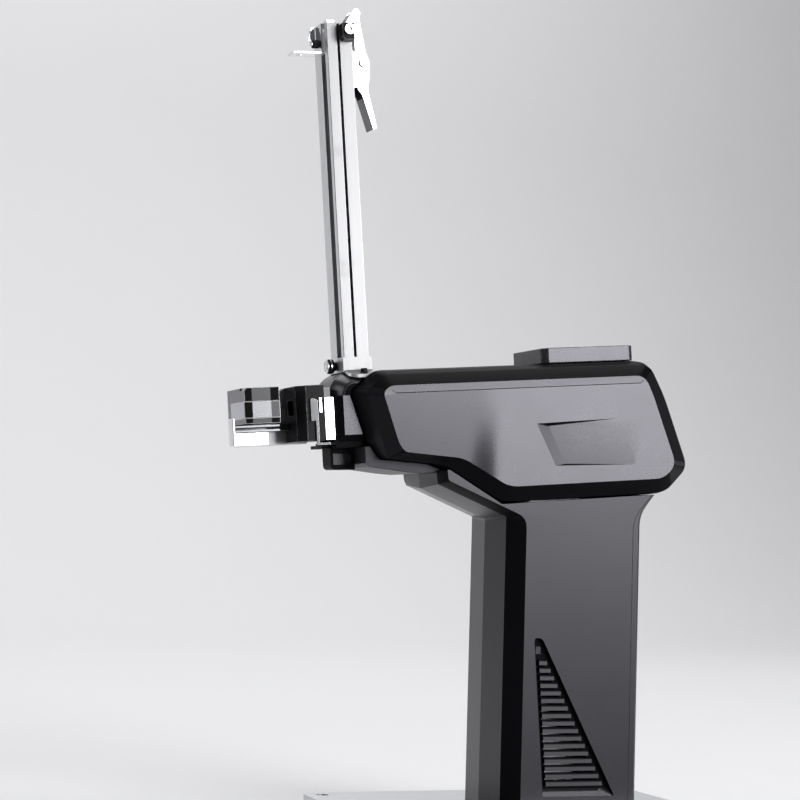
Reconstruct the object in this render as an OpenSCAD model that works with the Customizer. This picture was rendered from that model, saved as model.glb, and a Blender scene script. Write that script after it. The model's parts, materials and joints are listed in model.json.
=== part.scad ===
// Table-top bag clipping machine: base, column, tilted head, clip mast and clipping jaws.
// Millimetres, +Z up. The operator stands at -X and slides the bag neck in from -Y.
// Head, mast and jaws are drawn in a head frame that leans forward over the base.
// In that frame x = 0 lies at the bend under the head and z = 0 at the head's underside.

/* [Base] */
// Length of the base plate, front to back
base_l = 258; // [230:1:300]
// Width of the base plate
base_w = 190; // [150:1:240]
// Thickness of the base plate
base_t = 8; // [6:0.5:14]
// Distance of the plate's front edge in front of the origin
base_front = 85; // [60:1:110]
// Radius of the plate's corners
base_corner_r = 10; // [4:1:20]
// Height of the rubber feet
foot_h = 6; // [3:0.5:12]
// Radius of the rubber feet
foot_r = 12; // [8:0.5:16]
// Distance of the feet from the plate's edges
foot_inset = 34; // [24:1:44]
// Radius of the four bench bolt holes
bench_hole_r = 4.5; // [3:0.25:6]
// Distance of the bench holes from the plate's edges
bench_hole_inset = 13; // [11:1:16]

/* [Column] */
// Position of the column's front spine
column_x = 15; // [5:1:30]
// Depth of the column, front to back
column_l = 100; // [92:1:120]
// Width of the column across its side panels
column_w = 86; // [80:1:96]
// Height of the straight spine above the base plate
spine_h = 200.5; // [180:0.5:230]
// Half width of the spine
spine_half_w = 31; // [26:0.5:36]
// Rise of the spine's crown at the seam
spine_crown = 2.7; // [1:0.1:4]
// Setback of the side panels behind the spine
spine_bevel = 13; // [8:0.5:16]
// Reach of the neck in front of the spine
neck_reach = 49.4; // [44:0.2:54]
// Rise of the neck's underside towards its end
neck_rise = 20; // [16:0.5:22]
// Edge bevel along the neck
neck_bevel = 3.5; // [1:0.25:4]
// Wall of the column and head shells
wall = 3; // [2:0.25:3.5]
// Thickness of the rear panel
rear_t = 5.8; // [4:0.1:8]
// Height of the vent's apex above the base plate
vent_h = 120; // [90:1:150]
// Height of the vent's sill above the base plate
vent_sill = 12; // [8:1:24]
// Length of the vent along its sill
vent_l = 54; // [40:1:60]
// Distance between the vent's slats
slat_pitch = 5.15; // [4:0.05:8]
// Height of the slats
slat_t = 3.5; // [2.4:0.1:4]
// Depth of the vent's recess
vent_depth = 4; // [2:0.25:4.5]
// Width of the support post
post_w = 36; // [34:1:44]
// Depth of the support post
post_l = 38; // [30:1:42]
// Wall of the support post
post_wall = 3; // [2:0.25:5]
// Radius of the post bolts
post_bolt_r = 3; // [2:0.25:4]

/* [Head] */
// Forward lean of the head and mast
head_tilt = 5; // [3:0.5:7]
// Height of the head's underside above the top of the spine, at the bend
head_gap = 10.1; // [8:0.1:14]
// Width of the head across its side panels
head_w = 105; // [100:1:116]
// Height of the side panels' top edge
panel_top = 83.5; // [80:0.5:90]
// Height of the side panels' bottom edge
panel_low = 11; // [9:0.5:13]
// Reach of the side panels to the front
panel_front = 82; // [80:0.5:84]
// Reach of the side panels to the rear
panel_rear = 133; // [126:1:150]
// Rise of the head's top above the panels
head_crown = 12; // [11:0.25:13]
// Distance of the bevelled rim behind the panel face
rim_depth = 9.5; // [7:0.5:11]
// Depth of the ramped recess in the panels
ramp_depth = 4; // [2:0.25:5]

/* [Nose] */
// Half width of the nose across its cheeks
nose_half_w = 26; // [23:0.5:28]
// Position of the cheeks' front faces
cheek_x = -105.5; // [-106.5:0.5:-103]
// Outer radius of the rounded nose cap
nose_r = 16; // [14:0.5:17]
// Half width of the lower nose block
chin_half_w = 8.5; // [7:0.5:11]
// Length of the lower nose block
chin_l = 17.3; // [15:0.1:20]
// Height of the lower nose block's underside
chin_low = 29.5; // [27:0.5:31]
// Half width of the belly under the head
belly_half_w = 30; // [24:1:36]

/* [Mast] */
// Height of the mast above its flange
mast_h = 238; // [200:1:260]
// Depth of the mast's profile
mast_l = 18; // [16:0.5:20]
// Width of the mast's profile
mast_w = 28; // [26:0.5:30]
// Position of the mast's front face
mast_x = -95; // [-96:0.5:-94]
// Wall of the mast's profile
mast_wall = 2.5; // [2:0.25:3]
// Width of the mast's front slot
mast_slot_w = 9; // [7:0.5:10]
// Sideways offset of the mast's front slot
mast_slot_y = -3.5; // [-4:0.5:-2]
// Height of the collar round the mast
collar_h = 8; // [6:0.5:14]
// Wall of the collar
collar_wall = 1.2; // [1:0.1:2]
// Thickness of the mast flange
flange_t = 2.1; // [1.5:0.1:4]
// Radius of the clamp knob
clamp_knob_r = 5; // [4:0.1:5.4]
// Length of the clamp knob
clamp_knob_l = 7; // [5:0.5:10]
// Height of the cap on the mast's top
cap_h = 2; // [1:0.25:3]

/* [Follower] */
// Height of the follower slider in the mast
slider_h = 18; // [14:0.5:24]
// Distance of the slider's top below the mast's top
slider_drop = 6; // [4:0.5:10]
// Length of the follower's tab in front of the mast
tab_l = 22; // [14:0.5:28]
// Width of the follower's bracket
tab_w = 14; // [12:0.5:18]
// Thickness of the follower's bracket
tab_t = 1.5; // [1:0.1:2.5]
// Radius of the follower's thumb screw
thumb_r = 2.9; // [2.2:0.1:3.4]
// Length of the follower's thumb screw
thumb_l = 6.5; // [4:0.5:9]

/* [Latch] */
// Height of the latch pivot below the mast's top
pivot_drop = 26.5; // [22:0.5:34]
// Distance of the latch pivot behind the mast
pivot_back = 9.5; // [8:0.25:12]
// Radius of the latch pivot
pivot_r = 2; // [1.5:0.1:2.5]
// Half width of the latch lever
latch_half_w = 7; // [5:0.5:9]
// Length of the latch handle below the pivot
handle_l = 46; // [36:1:60]
// Sheet thickness of latch lever and bracket
latch_t = 1.5; // [1:0.1:2]
// Height of the stop block
stop_h = 11.8; // [10:0.2:14]
// Length of the stop block
stop_l = 8.6; // [8:0.2:10]
// Thickness of the stop block
stop_t = 8; // [5:0.5:11]
// Radius of the stop screw's head
stop_screw_r = 3.5; // [2.5:0.25:4]

/* [Jaws] */
// Height of the punch line above the head's underside
punch_z = 73; // [72:0.25:74]
// Gap of the throat between jaw and anvil
throat_gap = 13.5; // [11:0.5:15]
// Position of the jaw block's rear face
jaw_x = -113; // [-114:0.5:-112.5]
// Length of the jaw block
jaw_l = 18; // [17:0.5:21]
// Reach of jaw and anvil towards the loading side
jaw_near = 20.5; // [17:0.5:23]
// Depth of the throat behind the punch line
throat_back = 12; // [11:0.5:14]
// Length of the anvil block
anvil_l = 24.5; // [20:0.5:30]
// Height of the anvil block
anvil_h = 24.3; // [22:0.1:25]
// Height of the jaws' top face
jaw_top = 87.3; // [86:0.1:88.5]
// Height of the jaw block's underside
jaw_low = 49.5; // [49:0.25:52]
// Thickness of the frame plate behind the throat
arm_t = 9; // [6:0.5:12]
// Radius of the jaw screws
jaw_screw_r = 2.5; // [1.5:0.25:3]
// Thickness of the thin guide plates
guide_t = 1.2; // [0.8:0.1:1.6]
// Thickness of the bent sheets
sheet_t = 1.5; // [1:0.1:2]
// Width of the polished jaw rails
rail_w = 6; // [4:0.5:8]
// Radius of the die scoops in the anvil
scoop_r = 3.4; // [2.5:0.1:3.6]
// Length of the trigger finger past its pin
trigger_l = 21; // [18:0.5:22]
// Thickness of the trigger finger
trigger_t = 2; // [1.5:0.1:2.5]
// Radius of the trigger pin
trigger_pin_r = 1.5; // [1:0.1:1.8]

/* [Drive] */
// Travel of the punch
punch_travel = 55; // [40:1:55]
// Half width of the punch tip
tip_half_w = 6; // [4:0.25:6.5]
// Height of the punch tip
tip_h = 10; // [8:0.25:10.5]
// Half width of the punch bar
bar_half_w = 7.9; // [7:0.1:9]
// Height of the punch bar
bar_h = 12; // [11:0.25:12.5]
// Thickness of the frame plates
plate_t = 5; // [4:0.1:5]
// Gear module of rack and pinion
rack_module = 2; // [1.75:0.25:2.25]
// Teeth of the rack pinion
pinion_teeth = 14; // [13:1:15]
// Gear module of the motor gears
drive_module = 1.5; // [1.25:0.25:1.5]
// Teeth of the drive gear
drive_teeth = 40; // [36:1:42]
// Teeth of the motor pinion
motor_teeth = 12; // [12:1:14]
// Pressure angle of all teeth
pressure_angle = 25; // [22:1:26]
// Play between meshing teeth
backlash = 0.3; // [0.2:0.05:0.5]
// Width of the rack pinion
pinion_w = 12; // [8:0.5:14]
// Width of the drive gear
drive_w = 5.5; // [4:0.25:7]
// Radius of the cross shaft
shaft_r = 5; // [4:0.25:6]
// Outer radius of the shaft bearings
bearing_r = 8; // [7:0.25:9]
// Position of the cross shaft behind the bend
shaft_x = 10; // [6:0.5:14]
// Radius of the motor
motor_r = 21; // [18:0.5:22]
// Length of the motor
motor_l = 46; // [38:1:48]
// Angle from the cross shaft down to the motor
motor_angle = -20; // [-26:1:-16]

/* [Controls] */
// Length of the control pod
pod_l = 71; // [66:1:80]
// Width of the control pod
pod_w = 56; // [48:1:60]
// Height of the control pod
pod_h = 10.8; // [9:0.2:16]
// Position of the pod's front face
pod_x = 47; // [40:1:52]
// Corner bevel of the pod
pod_bevel = 4; // [2:0.5:6]
// Radius of the push buttons
button_r = 5.5; // [4:0.25:6]
// Distance between the buttons
button_pitch = 16; // [13.5:0.5:17]
// Travel of the buttons
button_travel = 1.5; // [1:0.1:2]
// Height of the buttons above the pod
button_rise = -0.4; // [-1:0.1:0]
// Length of the display window
display_l = 26; // [18:1:32]
// Width of the display window
display_w = 40; // [30:1:44]
// Height of the power inlet's centre above the base plate
inlet_z = 46; // [30:1:60]
// Height of the switch's centre above the base plate
switch_z = 84; // [72:1:110]

/* [Clearances] */
// Gap between fixed pieces
seam = 0.2; // [0.1:0.05:0.3]
// Gap round sliding pieces
slip = 0.3; // [0.25:0.05:0.4]
// Radial gap of running shafts
running = 0.05; // [0.02:0.01:0.09]
// Radial gap round screws
screw_gap = 0.1; // [0.05:0.05:0.2]

/* [Hidden] */
$fn = 48;
tiny = 0.01;
deck = foot_h + base_t;
base_rear = base_l - base_front;
panel_y = head_w / 2;
side_y = column_w / 2;

// Head frame
head_x = column_x - 8.9;
head_z = deck + spine_h + head_gap;
head_top = panel_top + head_crown;

function to_world(p) = [
    head_x + p[0] * cos(head_tilt) - p[1] * sin(head_tilt),
    head_z + p[0] * sin(head_tilt) + p[1] * cos(head_tilt)
];

// World point at height x on a line of constant head height z
function on_head_plane(x, z) = let (along = (x - head_x + z * sin(head_tilt)) / cos(head_tilt))
    to_world([along, z]);

module head_frame() {
    translate([head_x, 0, head_z]) rotate([0, -head_tilt, 0]) children();
}

// Outlines that run anticlockwise: each edge moves inwards by its own distance
function direction(a, b) = (b - a) / norm(b - a);
function left_of(d) = [-d[1], d[0]];
function meet(a, u, b, v) = a + u * cross(b - a, v) / cross(u, v);
function inset(points, distances) = let (n = len(points)) [
    for (i = [0 : n - 1])
        let (
            before = direction(points[(i + n - 1) % n], points[i]),
            after = direction(points[i], points[(i + 1) % n]),
            a = points[i] + distances[(i + n - 1) % n] * left_of(before),
            b = points[i] + distances[i] * left_of(after)
        ) meet(a, before, b, after)
];

// Outline with each corner drawn as a soft curve that starts at its own distance from the corner,
// or left sharp where that distance is 0
round_steps = 4;
function bend_point(a, b, c, t) = (1 - t) * (1 - t) * a + 2 * t * (1 - t) * b + t * t * c;
function rounded(points, distances) = let (n = len(points)) [
    for (i = [0 : n - 1])
        let (
            p = points[i],
            before = points[(i + n - 1) % n],
            after = points[(i + 1) % n],
            d = min(distances[i], 0.48 * norm(before - p), 0.48 * norm(after - p))
        )
        for (k = distances[i] == 0 ? [0] : [0 : round_steps])
            bend_point(p + d * direction(p, before), p, p + d * direction(p, after), k / round_steps)
];

// Triangles that fill an outline, found by cutting off one free corner after another
function is_inside(p, a, b, c) =
    cross(b - a, p - a) >= 0 && cross(c - b, p - b) >= 0 && cross(a - c, p - c) >= 0;
function corner(ids, k) = let (n = len(ids)) [ids[(k + n - 1) % n], ids[k], ids[(k + 1) % n]];
function is_free(points, ids, k) = let (
    t = corner(ids, k), a = points[t[0]], b = points[t[1]], c = points[t[2]],
    blocking = [for (i = ids) if (len(search(i, t)) == 0 && is_inside(points[i], a, b, c)) i]
) cross(b - a, c - b) > 0 && len(blocking) == 0;
function triangles(points, ids) = len(ids) == 3 ? [ids] : let (
    k = [for (i = [0 : len(ids) - 1]) if (is_free(points, ids, i)) i][0]
) concat([corner(ids, k)], triangles(points, [for (i = [0 : len(ids) - 1]) if (i != k) ids[i]]));

// Solid through outlines of equal length, each at its own y
module loft(sections) {
    n = len(sections[0][1]);
    last = len(sections) - 1;
    points = [for (s = sections) for (p = s[1]) [p[0], s[0], p[1]]];
    sides = [
        for (k = [0 : last - 1]) for (i = [0 : n - 1])
            let (j = (i + 1) % n)
            each [
                [k * n + i, k * n + j, (k + 1) * n + j],
                [k * n + i, (k + 1) * n + j, (k + 1) * n + i]
            ]
    ];
    all = [for (i = [0 : n - 1]) i];
    front = [for (t = triangles(sections[0][1], all)) [t[2], t[1], t[0]]];
    back = [for (t = triangles(sections[last][1], all)) [for (i = t) last * n + i]];
    polyhedron(points, concat(front, sides, back), convexity = 6);
}

// Profile drawn in x and z, or in y and z, and extruded along the third axis
module along_y(y0, y1) {
    translate([0, y1, 0]) rotate([90, 0, 0]) linear_extrude(y1 - y0, convexity = 6) children();
}
module along_x(x0, x1) {
    translate([x0, 0, 0]) rotate([90, 0, 90]) linear_extrude(x1 - x0, convexity = 6) children();
}
module box(x0, x1, y0, y1, z0, z1) {
    translate([x0, y0, z0]) cube([x1 - x0, y1 - y0, z1 - z0]);
}
module rod_x(x0, x1, y, z, r) {
    translate([x0, y, z]) rotate([0, 90, 0]) cylinder(h = x1 - x0, r = r);
}
module rod_y(x, y0, y1, z, r) {
    translate([x, y1, z]) rotate([90, 0, 0]) cylinder(h = y1 - y0, r = r);
}
module rod_z(x, y, z0, z1, r) {
    translate([x, y, z0]) cylinder(h = z1 - z0, r = r);
}
module on_side(side) {
    if (side > 0) {
        children();
    } else {
        mirror([0, 1, 0]) children();
    }
}
module rounded_sheet(l, w, t, r) {
    linear_extrude(t) union() {
        square([l - 2 * r, w], center = true);
        square([l, w - 2 * r], center = true);
        for (i = [-1, 1], j = [-1, 1])
            translate([i * (l / 2 - r), j * (w / 2 - r)]) circle(r);
    }
}
function arc(centre, r, from, to, steps) = [
    for (i = [0 : steps]) let (a = from + (to - from) * i / steps) centre + r * [cos(a), sin(a)]
];

// Outline of the head's side panels, and of the widest part of the head round it
panel_chin = [-25.5, 32.5];
panel_outline = [
    [-panel_front + 10, 44.5], [-panel_front + 14, 38.8], panel_chin, [5, panel_low + 0.5],
    [panel_rear - 10, panel_low], [panel_rear, panel_low + 9], [panel_rear - 15, panel_top - 12.5],
    [panel_rear - 20.5, panel_top], [-panel_front + 5.5, panel_top], [-panel_front, panel_top - 4.3]
];
// Width of the rim outside each edge of the panel, in the order of the outline
head_rim = [11, 5, 10.4, panel_low, 12, 14, 13, head_crown, 11, 13];
core_low = inset(panel_outline, [for (r = head_rim) -r]);

// Base
base_mid = base_rear - base_l / 2;
foot_dx = base_l / 2 - foot_inset;
foot_dy = base_w / 2 - foot_inset;
bench_dx = base_l / 2 - bench_hole_inset;
bench_dy = base_w / 2 - bench_hole_inset;
post_x = column_x + 25;
post_mid = post_x + post_l / 2;
post_foot_t = 8;
post_foot_l = post_l + 28;
post_foot_w = post_w + 28;
post_bolt_dx = post_foot_l / 2 - 7;
post_bolt_dy = post_foot_w / 2 - 7;
bolt_head_r = post_bolt_r * 1.7;
bolt_head_h = base_t / 2;

module each_corner(x, dx, dy) {
    for (i = [-1, 1], j = [-1, 1]) translate([x + i * dx, j * dy, 0]) children();
}

module base_plate() {
    color("silver") difference() {
        translate([base_mid, 0, foot_h]) rounded_sheet(base_l, base_w, base_t, base_corner_r);
        each_corner(base_mid, bench_dx, bench_dy) rod_z(0, 0, foot_h - 1, deck + 1, bench_hole_r);
        each_corner(post_mid, post_bolt_dx, post_bolt_dy) {
            rod_z(0, 0, foot_h - 1, deck + 1, post_bolt_r + screw_gap);
            rod_z(0, 0, foot_h - 1, foot_h + bolt_head_h, bolt_head_r + screw_gap);
        }
    }
}

module rubber_feet() {
    color("dimgray") each_corner(base_mid, foot_dx, foot_dy) rod_z(0, 0, 0, foot_h, foot_r);
}

// Support post: a welded tube with a foot flange and a cap that carries the frame plates
post_top = 12;
post_cap = 5;
module post_profile(side_wall, top) {
    x0 = post_x + side_wall;
    x1 = post_x + post_l - side_wall;
    polygon([[x0, deck], [x1, deck], on_head_plane(x1, top), on_head_plane(x0, top)]);
}
module support_post() {
    color("dimgray") difference() {
        union() {
            along_y(-post_w / 2, post_w / 2) post_profile(0, post_top);
            translate([post_mid, 0, deck])
                rounded_sheet(post_foot_l, post_foot_w, post_foot_t, base_corner_r / 2);
        }
        along_y(-post_w / 2 + post_wall, post_w / 2 - post_wall)
            translate([0, -1]) post_profile(post_wall, post_top - post_cap);
        each_corner(post_mid, post_bolt_dx, post_bolt_dy)
            rod_z(0, 0, deck - 1, deck + post_foot_t + 1, post_bolt_r + screw_gap);
    }
}
module post_clearance() {
    along_y(-post_w / 2 - 1, post_w / 2 + 1)
        polygon([
            [post_x - 1, deck + spine_h / 2], [post_x + post_l + 1, deck + spine_h / 2],
            on_head_plane(post_x + post_l + 1, post_top + 1), on_head_plane(post_x - 1, post_top + 1)
        ]);
}
module post_bolts() {
    color("gray") each_corner(post_mid, post_bolt_dx, post_bolt_dy) {
        rod_z(0, 0, foot_h + bolt_head_h - tiny, deck + post_foot_t, post_bolt_r);
        rod_z(0, 0, foot_h + 0.3, foot_h + bolt_head_h, bolt_head_r);
    }
}

// Column
column_rear = column_x + column_l;
shell_rear = column_rear - rear_t - seam;
spine_top = deck + spine_h;
flare_z = spine_top + 2.5;
flare_soft = 8;
neck_top = 25.2;
neck_seat = 23.5;
function on_slope(z) = meet(core_low[2] - [seam, seam], direction(core_low[2], core_low[3]), [0, z], [1, 0]);
neck_tip = [-40.4, neck_top];
column_outline = [
    [column_x, deck + seam], [shell_rear, deck + seam], [shell_rear, flare_z],
    to_world([117.3, -seam]), to_world(on_slope(-seam)),
    to_world(on_slope(neck_top)), to_world(neck_tip),
    [column_x - neck_reach, spine_top + neck_rise], [column_x, spine_top]
];
cavity_outline = [
    [column_x + wall, deck - 1], [shell_rear + 1, deck - 1], [shell_rear + 1, flare_z - wall],
    to_world([104, -wall - seam]), on_head_plane(column_x + wall, -wall - seam)
];
// Softness of the column's corners, in the order of the outline
function column_soft(bend) = [0, 0, flare_soft, 0, 0, 0, bend / 4, bend / 4, bend];
function column_section(y, bevel, end, edge, bend) =
    [y, rounded(inset(column_outline, [0, 0, 0, 0, 0, 0, end, edge, bevel]), column_soft(bend))];
function cavity_section(y, bevel) = [y, inset(cavity_outline, [0, 0, 0, 0, bevel])];

// Vent: a tall triangle with its apex towards the spine, filled with slats
vent_x = column_x + 23;
vent_lean = 6.5;
vent_low = deck + vent_sill;
vent_high = deck + vent_h;
vent_points = [
    [vent_x + vent_lean, vent_low], [vent_x + vent_lean + vent_l, vent_low],
    [vent_x + 3.5, vent_high], [vent_x - 2.5, vent_high]
];
vent_back = side_y - vent_depth;
vent_backing = 2;
function vent_left(z) = meet(vent_points[3], vent_points[0] - vent_points[3], [0, z], [1, 0])[0];
function vent_right(z) = meet(vent_points[1], vent_points[2] - vent_points[1], [0, z], [1, 0])[0];
slat_first = vent_low + 7;
slat_count = floor((vent_h - vent_sill - 18) / slat_pitch);
module vent_slats() {
    for (i = [0 : slat_count - 1]) {
        z = slat_first + i * slat_pitch;
        along_x(vent_left(z) + 3, vent_right(z + slat_t) - 3.5) polygon([
            [vent_back - tiny, z], [side_y - 0.8, z], [side_y - 1, z + slat_t - 0.9],
            [side_y - 2.2, z + slat_t], [vent_back - tiny, z + slat_t]
        ]);
    }
    along_x(vent_left(vent_low), vent_right(vent_low)) polygon([
        [vent_back - tiny, vent_low - 1], [side_y - 0.4, vent_low - 1], [side_y - 0.4, vent_low],
        [vent_back - tiny, vent_low + 5]
    ]);
    box(vent_x - 0.8, vent_x + 2.8, vent_back - tiny, side_y - 1, vent_high - 11, vent_high - 6);
}
// Slits behind the slats that let the air through
module vent_slits() {
    gap = slat_pitch - slat_t;
    for (i = [1 : slat_count - 1]) {
        z = slat_first + i * slat_pitch;
        box(vent_left(z) + 4, vent_right(z) - 5.5, vent_back - vent_backing - 1, vent_back + 0.5,
            z - 0.8 * gap, z - 0.1 * gap);
    }
}
module column_shell(side) {
    difference() {
        on_side(side) difference() {
            union() {
                difference() {
                    loft([
                        column_section(seam / 2, 0, 0, 0, 1.2),
                        column_section(spine_half_w, spine_crown, spine_crown / 2, spine_crown, 1.2),
                        column_section(side_y, spine_bevel, spine_crown / 2 + neck_bevel,
                            spine_crown + neck_bevel, 7)
                    ]);
                    loft([
                        cavity_section(-1, 0), cavity_section(spine_half_w - wall, spine_crown),
                        cavity_section(side_y - wall, spine_bevel)
                    ]);
                    along_y(side_y - wall - 1, side_y + 1) polygon(rounded(vent_points, [1, 1, 4, 4]));
                }
                difference() {
                    along_y(vent_back - vent_backing, side_y - 0.5) polygon(inset(vent_points, [-2, -2, -2, -2]));
                    along_y(vent_back, side_y + 1) polygon(rounded(vent_points, [1, 1, 4, 4]));
                }
                intersection() {
                    vent_slats();
                    along_y(vent_back - 1, side_y) polygon(inset(vent_points, [-0.5, -0.5, -0.5, -0.5]));
                }
            }
            vent_slits();
        }
        post_clearance();
        head_frame() box(neck_tip[0] - 20, 0, -belly_half_w - seam, belly_half_w + seam, neck_seat,
            neck_top + 5);
        if (side > 0) {
            column_screw_holes();
        }
    }
}
module column_shell_left() {
    color("#2b2c2f") column_shell(-1);
}
module column_shell_right() {
    color("#2b2c2f") column_shell(1);
}

// Rear panel with the power inlet and the switch
inlet_w = 27.5;
inlet_h = 20;
inlet_rim = 3;
inlet_depth = 22;
inlet_mouth = 18;
switch_w = 13;
switch_h = 19;
switch_rim = 1.8;
switch_depth = 12;
rear_x0 = column_rear - rear_t;
rear_edge = 1.8;
flare_a = column_outline[2];
flare_b = column_outline[3];
flare_in = flare_b - seam * left_of(direction(flare_a, flare_b));
rear_outline = [
    [rear_x0, deck + seam], [column_rear, deck + seam], [column_rear, flare_z + 3.4],
    to_world([120.6, -seam]),
    meet(flare_in, direction(flare_a, flare_b), to_world([0, -seam]), direction(to_world([0, 0]), to_world([1, 0]))),
    meet(flare_in, direction(flare_a, flare_b), [rear_x0, 0], [0, 1])
];
function rear_section(y, edge) =
    [y, rounded(inset(rear_outline, [0, edge, edge, 0, 0, 0]), [0, 0, flare_soft, 0, 0, flare_soft])];
module rear_panel() {
    color("#26272a") difference() {
        loft([
            rear_section(-side_y, rear_edge), rear_section(-side_y + rear_edge, 0),
            rear_section(side_y - rear_edge, 0), rear_section(side_y, rear_edge)
        ]);
        rear_cut(inlet_z, inlet_w + 2 * seam, inlet_h + 2 * seam);
        rear_cut(switch_z, switch_w + 2 * seam, switch_h + 2 * seam);
    }
}
module rear_cut(z, w, h) {
    box(rear_x0 - 1, column_rear + 1, -w / 2, w / 2, deck + z - h / 2, deck + z + h / 2);
}
module power_inlet() {
    z = deck + inlet_z;
    out = column_rear + 2.5;
    color("#141416") difference() {
        union() {
            box(out - inlet_depth, out, -inlet_w / 2, inlet_w / 2, z - inlet_h / 2, z + inlet_h / 2);
            box(column_rear + tiny, out, -inlet_w / 2 - inlet_rim, inlet_w / 2 + inlet_rim,
                z - inlet_h / 2 - inlet_rim, z + inlet_h / 2 + inlet_rim);
        }
        box(out - inlet_mouth, out + 1, -12, 12, z - 8, z + 8);
        inlet_blades(screw_gap / 2);
    }
}
module inlet_blades(gap) {
    z = deck + inlet_z;
    back = column_rear + 2.5 - inlet_depth - 6;
    front = column_rear + 2.5 - 6;
    for (p = [[-7, -2], [0, 2.5], [7, -2]])
        box(back, front, p[0] - 1 - gap, p[0] + 1 + gap, z + p[1] - 2 - gap, z + p[1] + 2 + gap);
}
module inlet_pins() {
    color("gold") inlet_blades(0);
}
rocker_x = column_rear - 1;
module switch_bezel() {
    z = deck + switch_z;
    out = column_rear + 1.6;
    color("#141416") difference() {
        union() {
            box(out - switch_depth, out, -switch_w / 2, switch_w / 2, z - switch_h / 2,
                z + switch_h / 2);
            box(column_rear + tiny, out, -switch_w / 2 - switch_rim, switch_w / 2 + switch_rim,
                z - switch_h / 2 - switch_rim, z + switch_h / 2 + switch_rim);
        }
        box(out - switch_depth + 2, out + 1, -switch_w / 2 + 1.5, switch_w / 2 - 1.5,
            z - switch_h / 2 + 1, z + switch_h / 2 - 1);
    }
}
module switch_rocker() {
    half = switch_h / 2 - 1.6;
    color("#202022") translate([rocker_x, 0, deck + switch_z])
        along_y(-switch_w / 2 + 1.5 + slip, switch_w / 2 - 1.5 - slip)
            polygon([[-3, -3], [-0.5, -half], [2.4, -half], [1.2, 0], [3.4, half], [0.5, half], [-3, 3]]);
}
supply_z = 90;
supply_h = 90;
supply_t = 16;
supply_before = 6;
supply_behind = 12;
module power_supply() {
    y0 = post_w / 2 + seam;
    color("lightgray") box(post_x - supply_before, post_x + post_l + supply_behind, y0, y0 + supply_t,
        deck + supply_z, deck + supply_z + supply_h);
}
board_z = 100;
board_h = 80;
board_t = 1.6;
board_stand = 6;
board_before = 8;
board_behind = 14;
stand_r = 3;
stand_edge = 8;
stand_x = 6;
stand_pitch = 26;
chip_l = 12;
chip_h = 16;
chip_t = 4.4;
chip_pitch = 18;
chip_z = 20;
module control_board() {
    y1 = -post_w / 2 - seam;
    color("darkgreen") union() {
        low = deck + board_z;
        face = y1 - board_stand - board_t;
        box(post_x - board_before, post_x + post_l + board_behind, face, y1 - board_stand, low, low + board_h);
        for (i = [0, 1], z = [stand_edge, board_h - stand_edge])
            rod_y(post_x + stand_x + i * stand_pitch, y1 - board_stand - tiny, y1, low + z, stand_r);
        for (k = [0 : 2])
            translate([post_x + chip_pitch * k, 0, low + chip_z])
                box(0, chip_l, face - chip_t, face + tiny, 0, chip_h);
    }
}

// Head shells: raised side panels, a bevelled rim all round and a crowned top
top_edge = 7;
facet = 0.9;
rim_y = panel_y - rim_depth;
// Distance from the middle, then the share of the rim low, on top and in front
head_steps = [
    [seam / 2, 1, 1, 1], [rim_y - 15, 1, 0.98, 0.93], [rim_y - 6, 0.97, 0.86, 0.76],
    [rim_y, 0.9, 0.62, 0.6], [panel_y - facet, 0, 0, 0], [panel_y, 0, 0, 0]
];
function rim_share(step, i) = i == top_edge ? step[2] : i > top_edge ? step[3] : step[1];
// Softness of the panel's corners, in the order of the outline
head_soft = [4, 4, 6, 7, 7, 7, 7, 6, 4, 4];
function head_section(step, y, thickness) = [y, rounded(inset(panel_outline,
    [for (i = [0 : len(head_rim) - 1]) thickness - head_rim[i] * rim_share(step, i)]), head_soft)];
ramp_left = [28.3, 40.7];
ramp_floor = [38.7, 49.8];
ramp_right = [90, 100.9];
ramp_z = [24, 53.5];
module ramp_recess() {
    out = panel_y + 1;
    low = panel_y - ramp_depth;
    polyhedron(
        [
            [ramp_left[0], panel_y, ramp_z[1]], [ramp_left[1], panel_y, ramp_z[0]],
            [ramp_right[1], panel_y, ramp_z[0] - 2], [ramp_right[0], panel_y, ramp_z[1] + 1],
            [ramp_floor[0], low, ramp_z[1] - 2], [ramp_floor[1], low, ramp_z[0] + 1],
            [ramp_left[0], out, ramp_z[1]], [ramp_left[1], out, ramp_z[0]],
            [ramp_right[1], out, ramp_z[0] - 2], [ramp_right[0], out, ramp_z[1] + 1]
        ],
        [
            [6, 7, 8], [6, 8, 9], [0, 1, 7, 6], [1, 2, 8, 7], [2, 3, 9, 8], [3, 0, 6, 9],
            [0, 4, 5], [0, 5, 1], [1, 5, 2], [4, 0, 3], [2, 5, 4], [2, 4, 3]
        ]
    );
}
// Height where the strip along the panels' top edge starts
setback_z = panel_top - 0.45 * head_crown;
// Strip along the panels' top edge: it leans inwards
module top_strip_cut() {
    rise = panel_top - setback_z;
    along_x(-panel_front - 20, panel_rear + 20) polygon([
        [panel_y, setback_z], [panel_y + 5, setback_z], [panel_y + 5, panel_top + rise],
        [panel_y - 2 * facet, panel_top + rise]
    ]);
}
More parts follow.
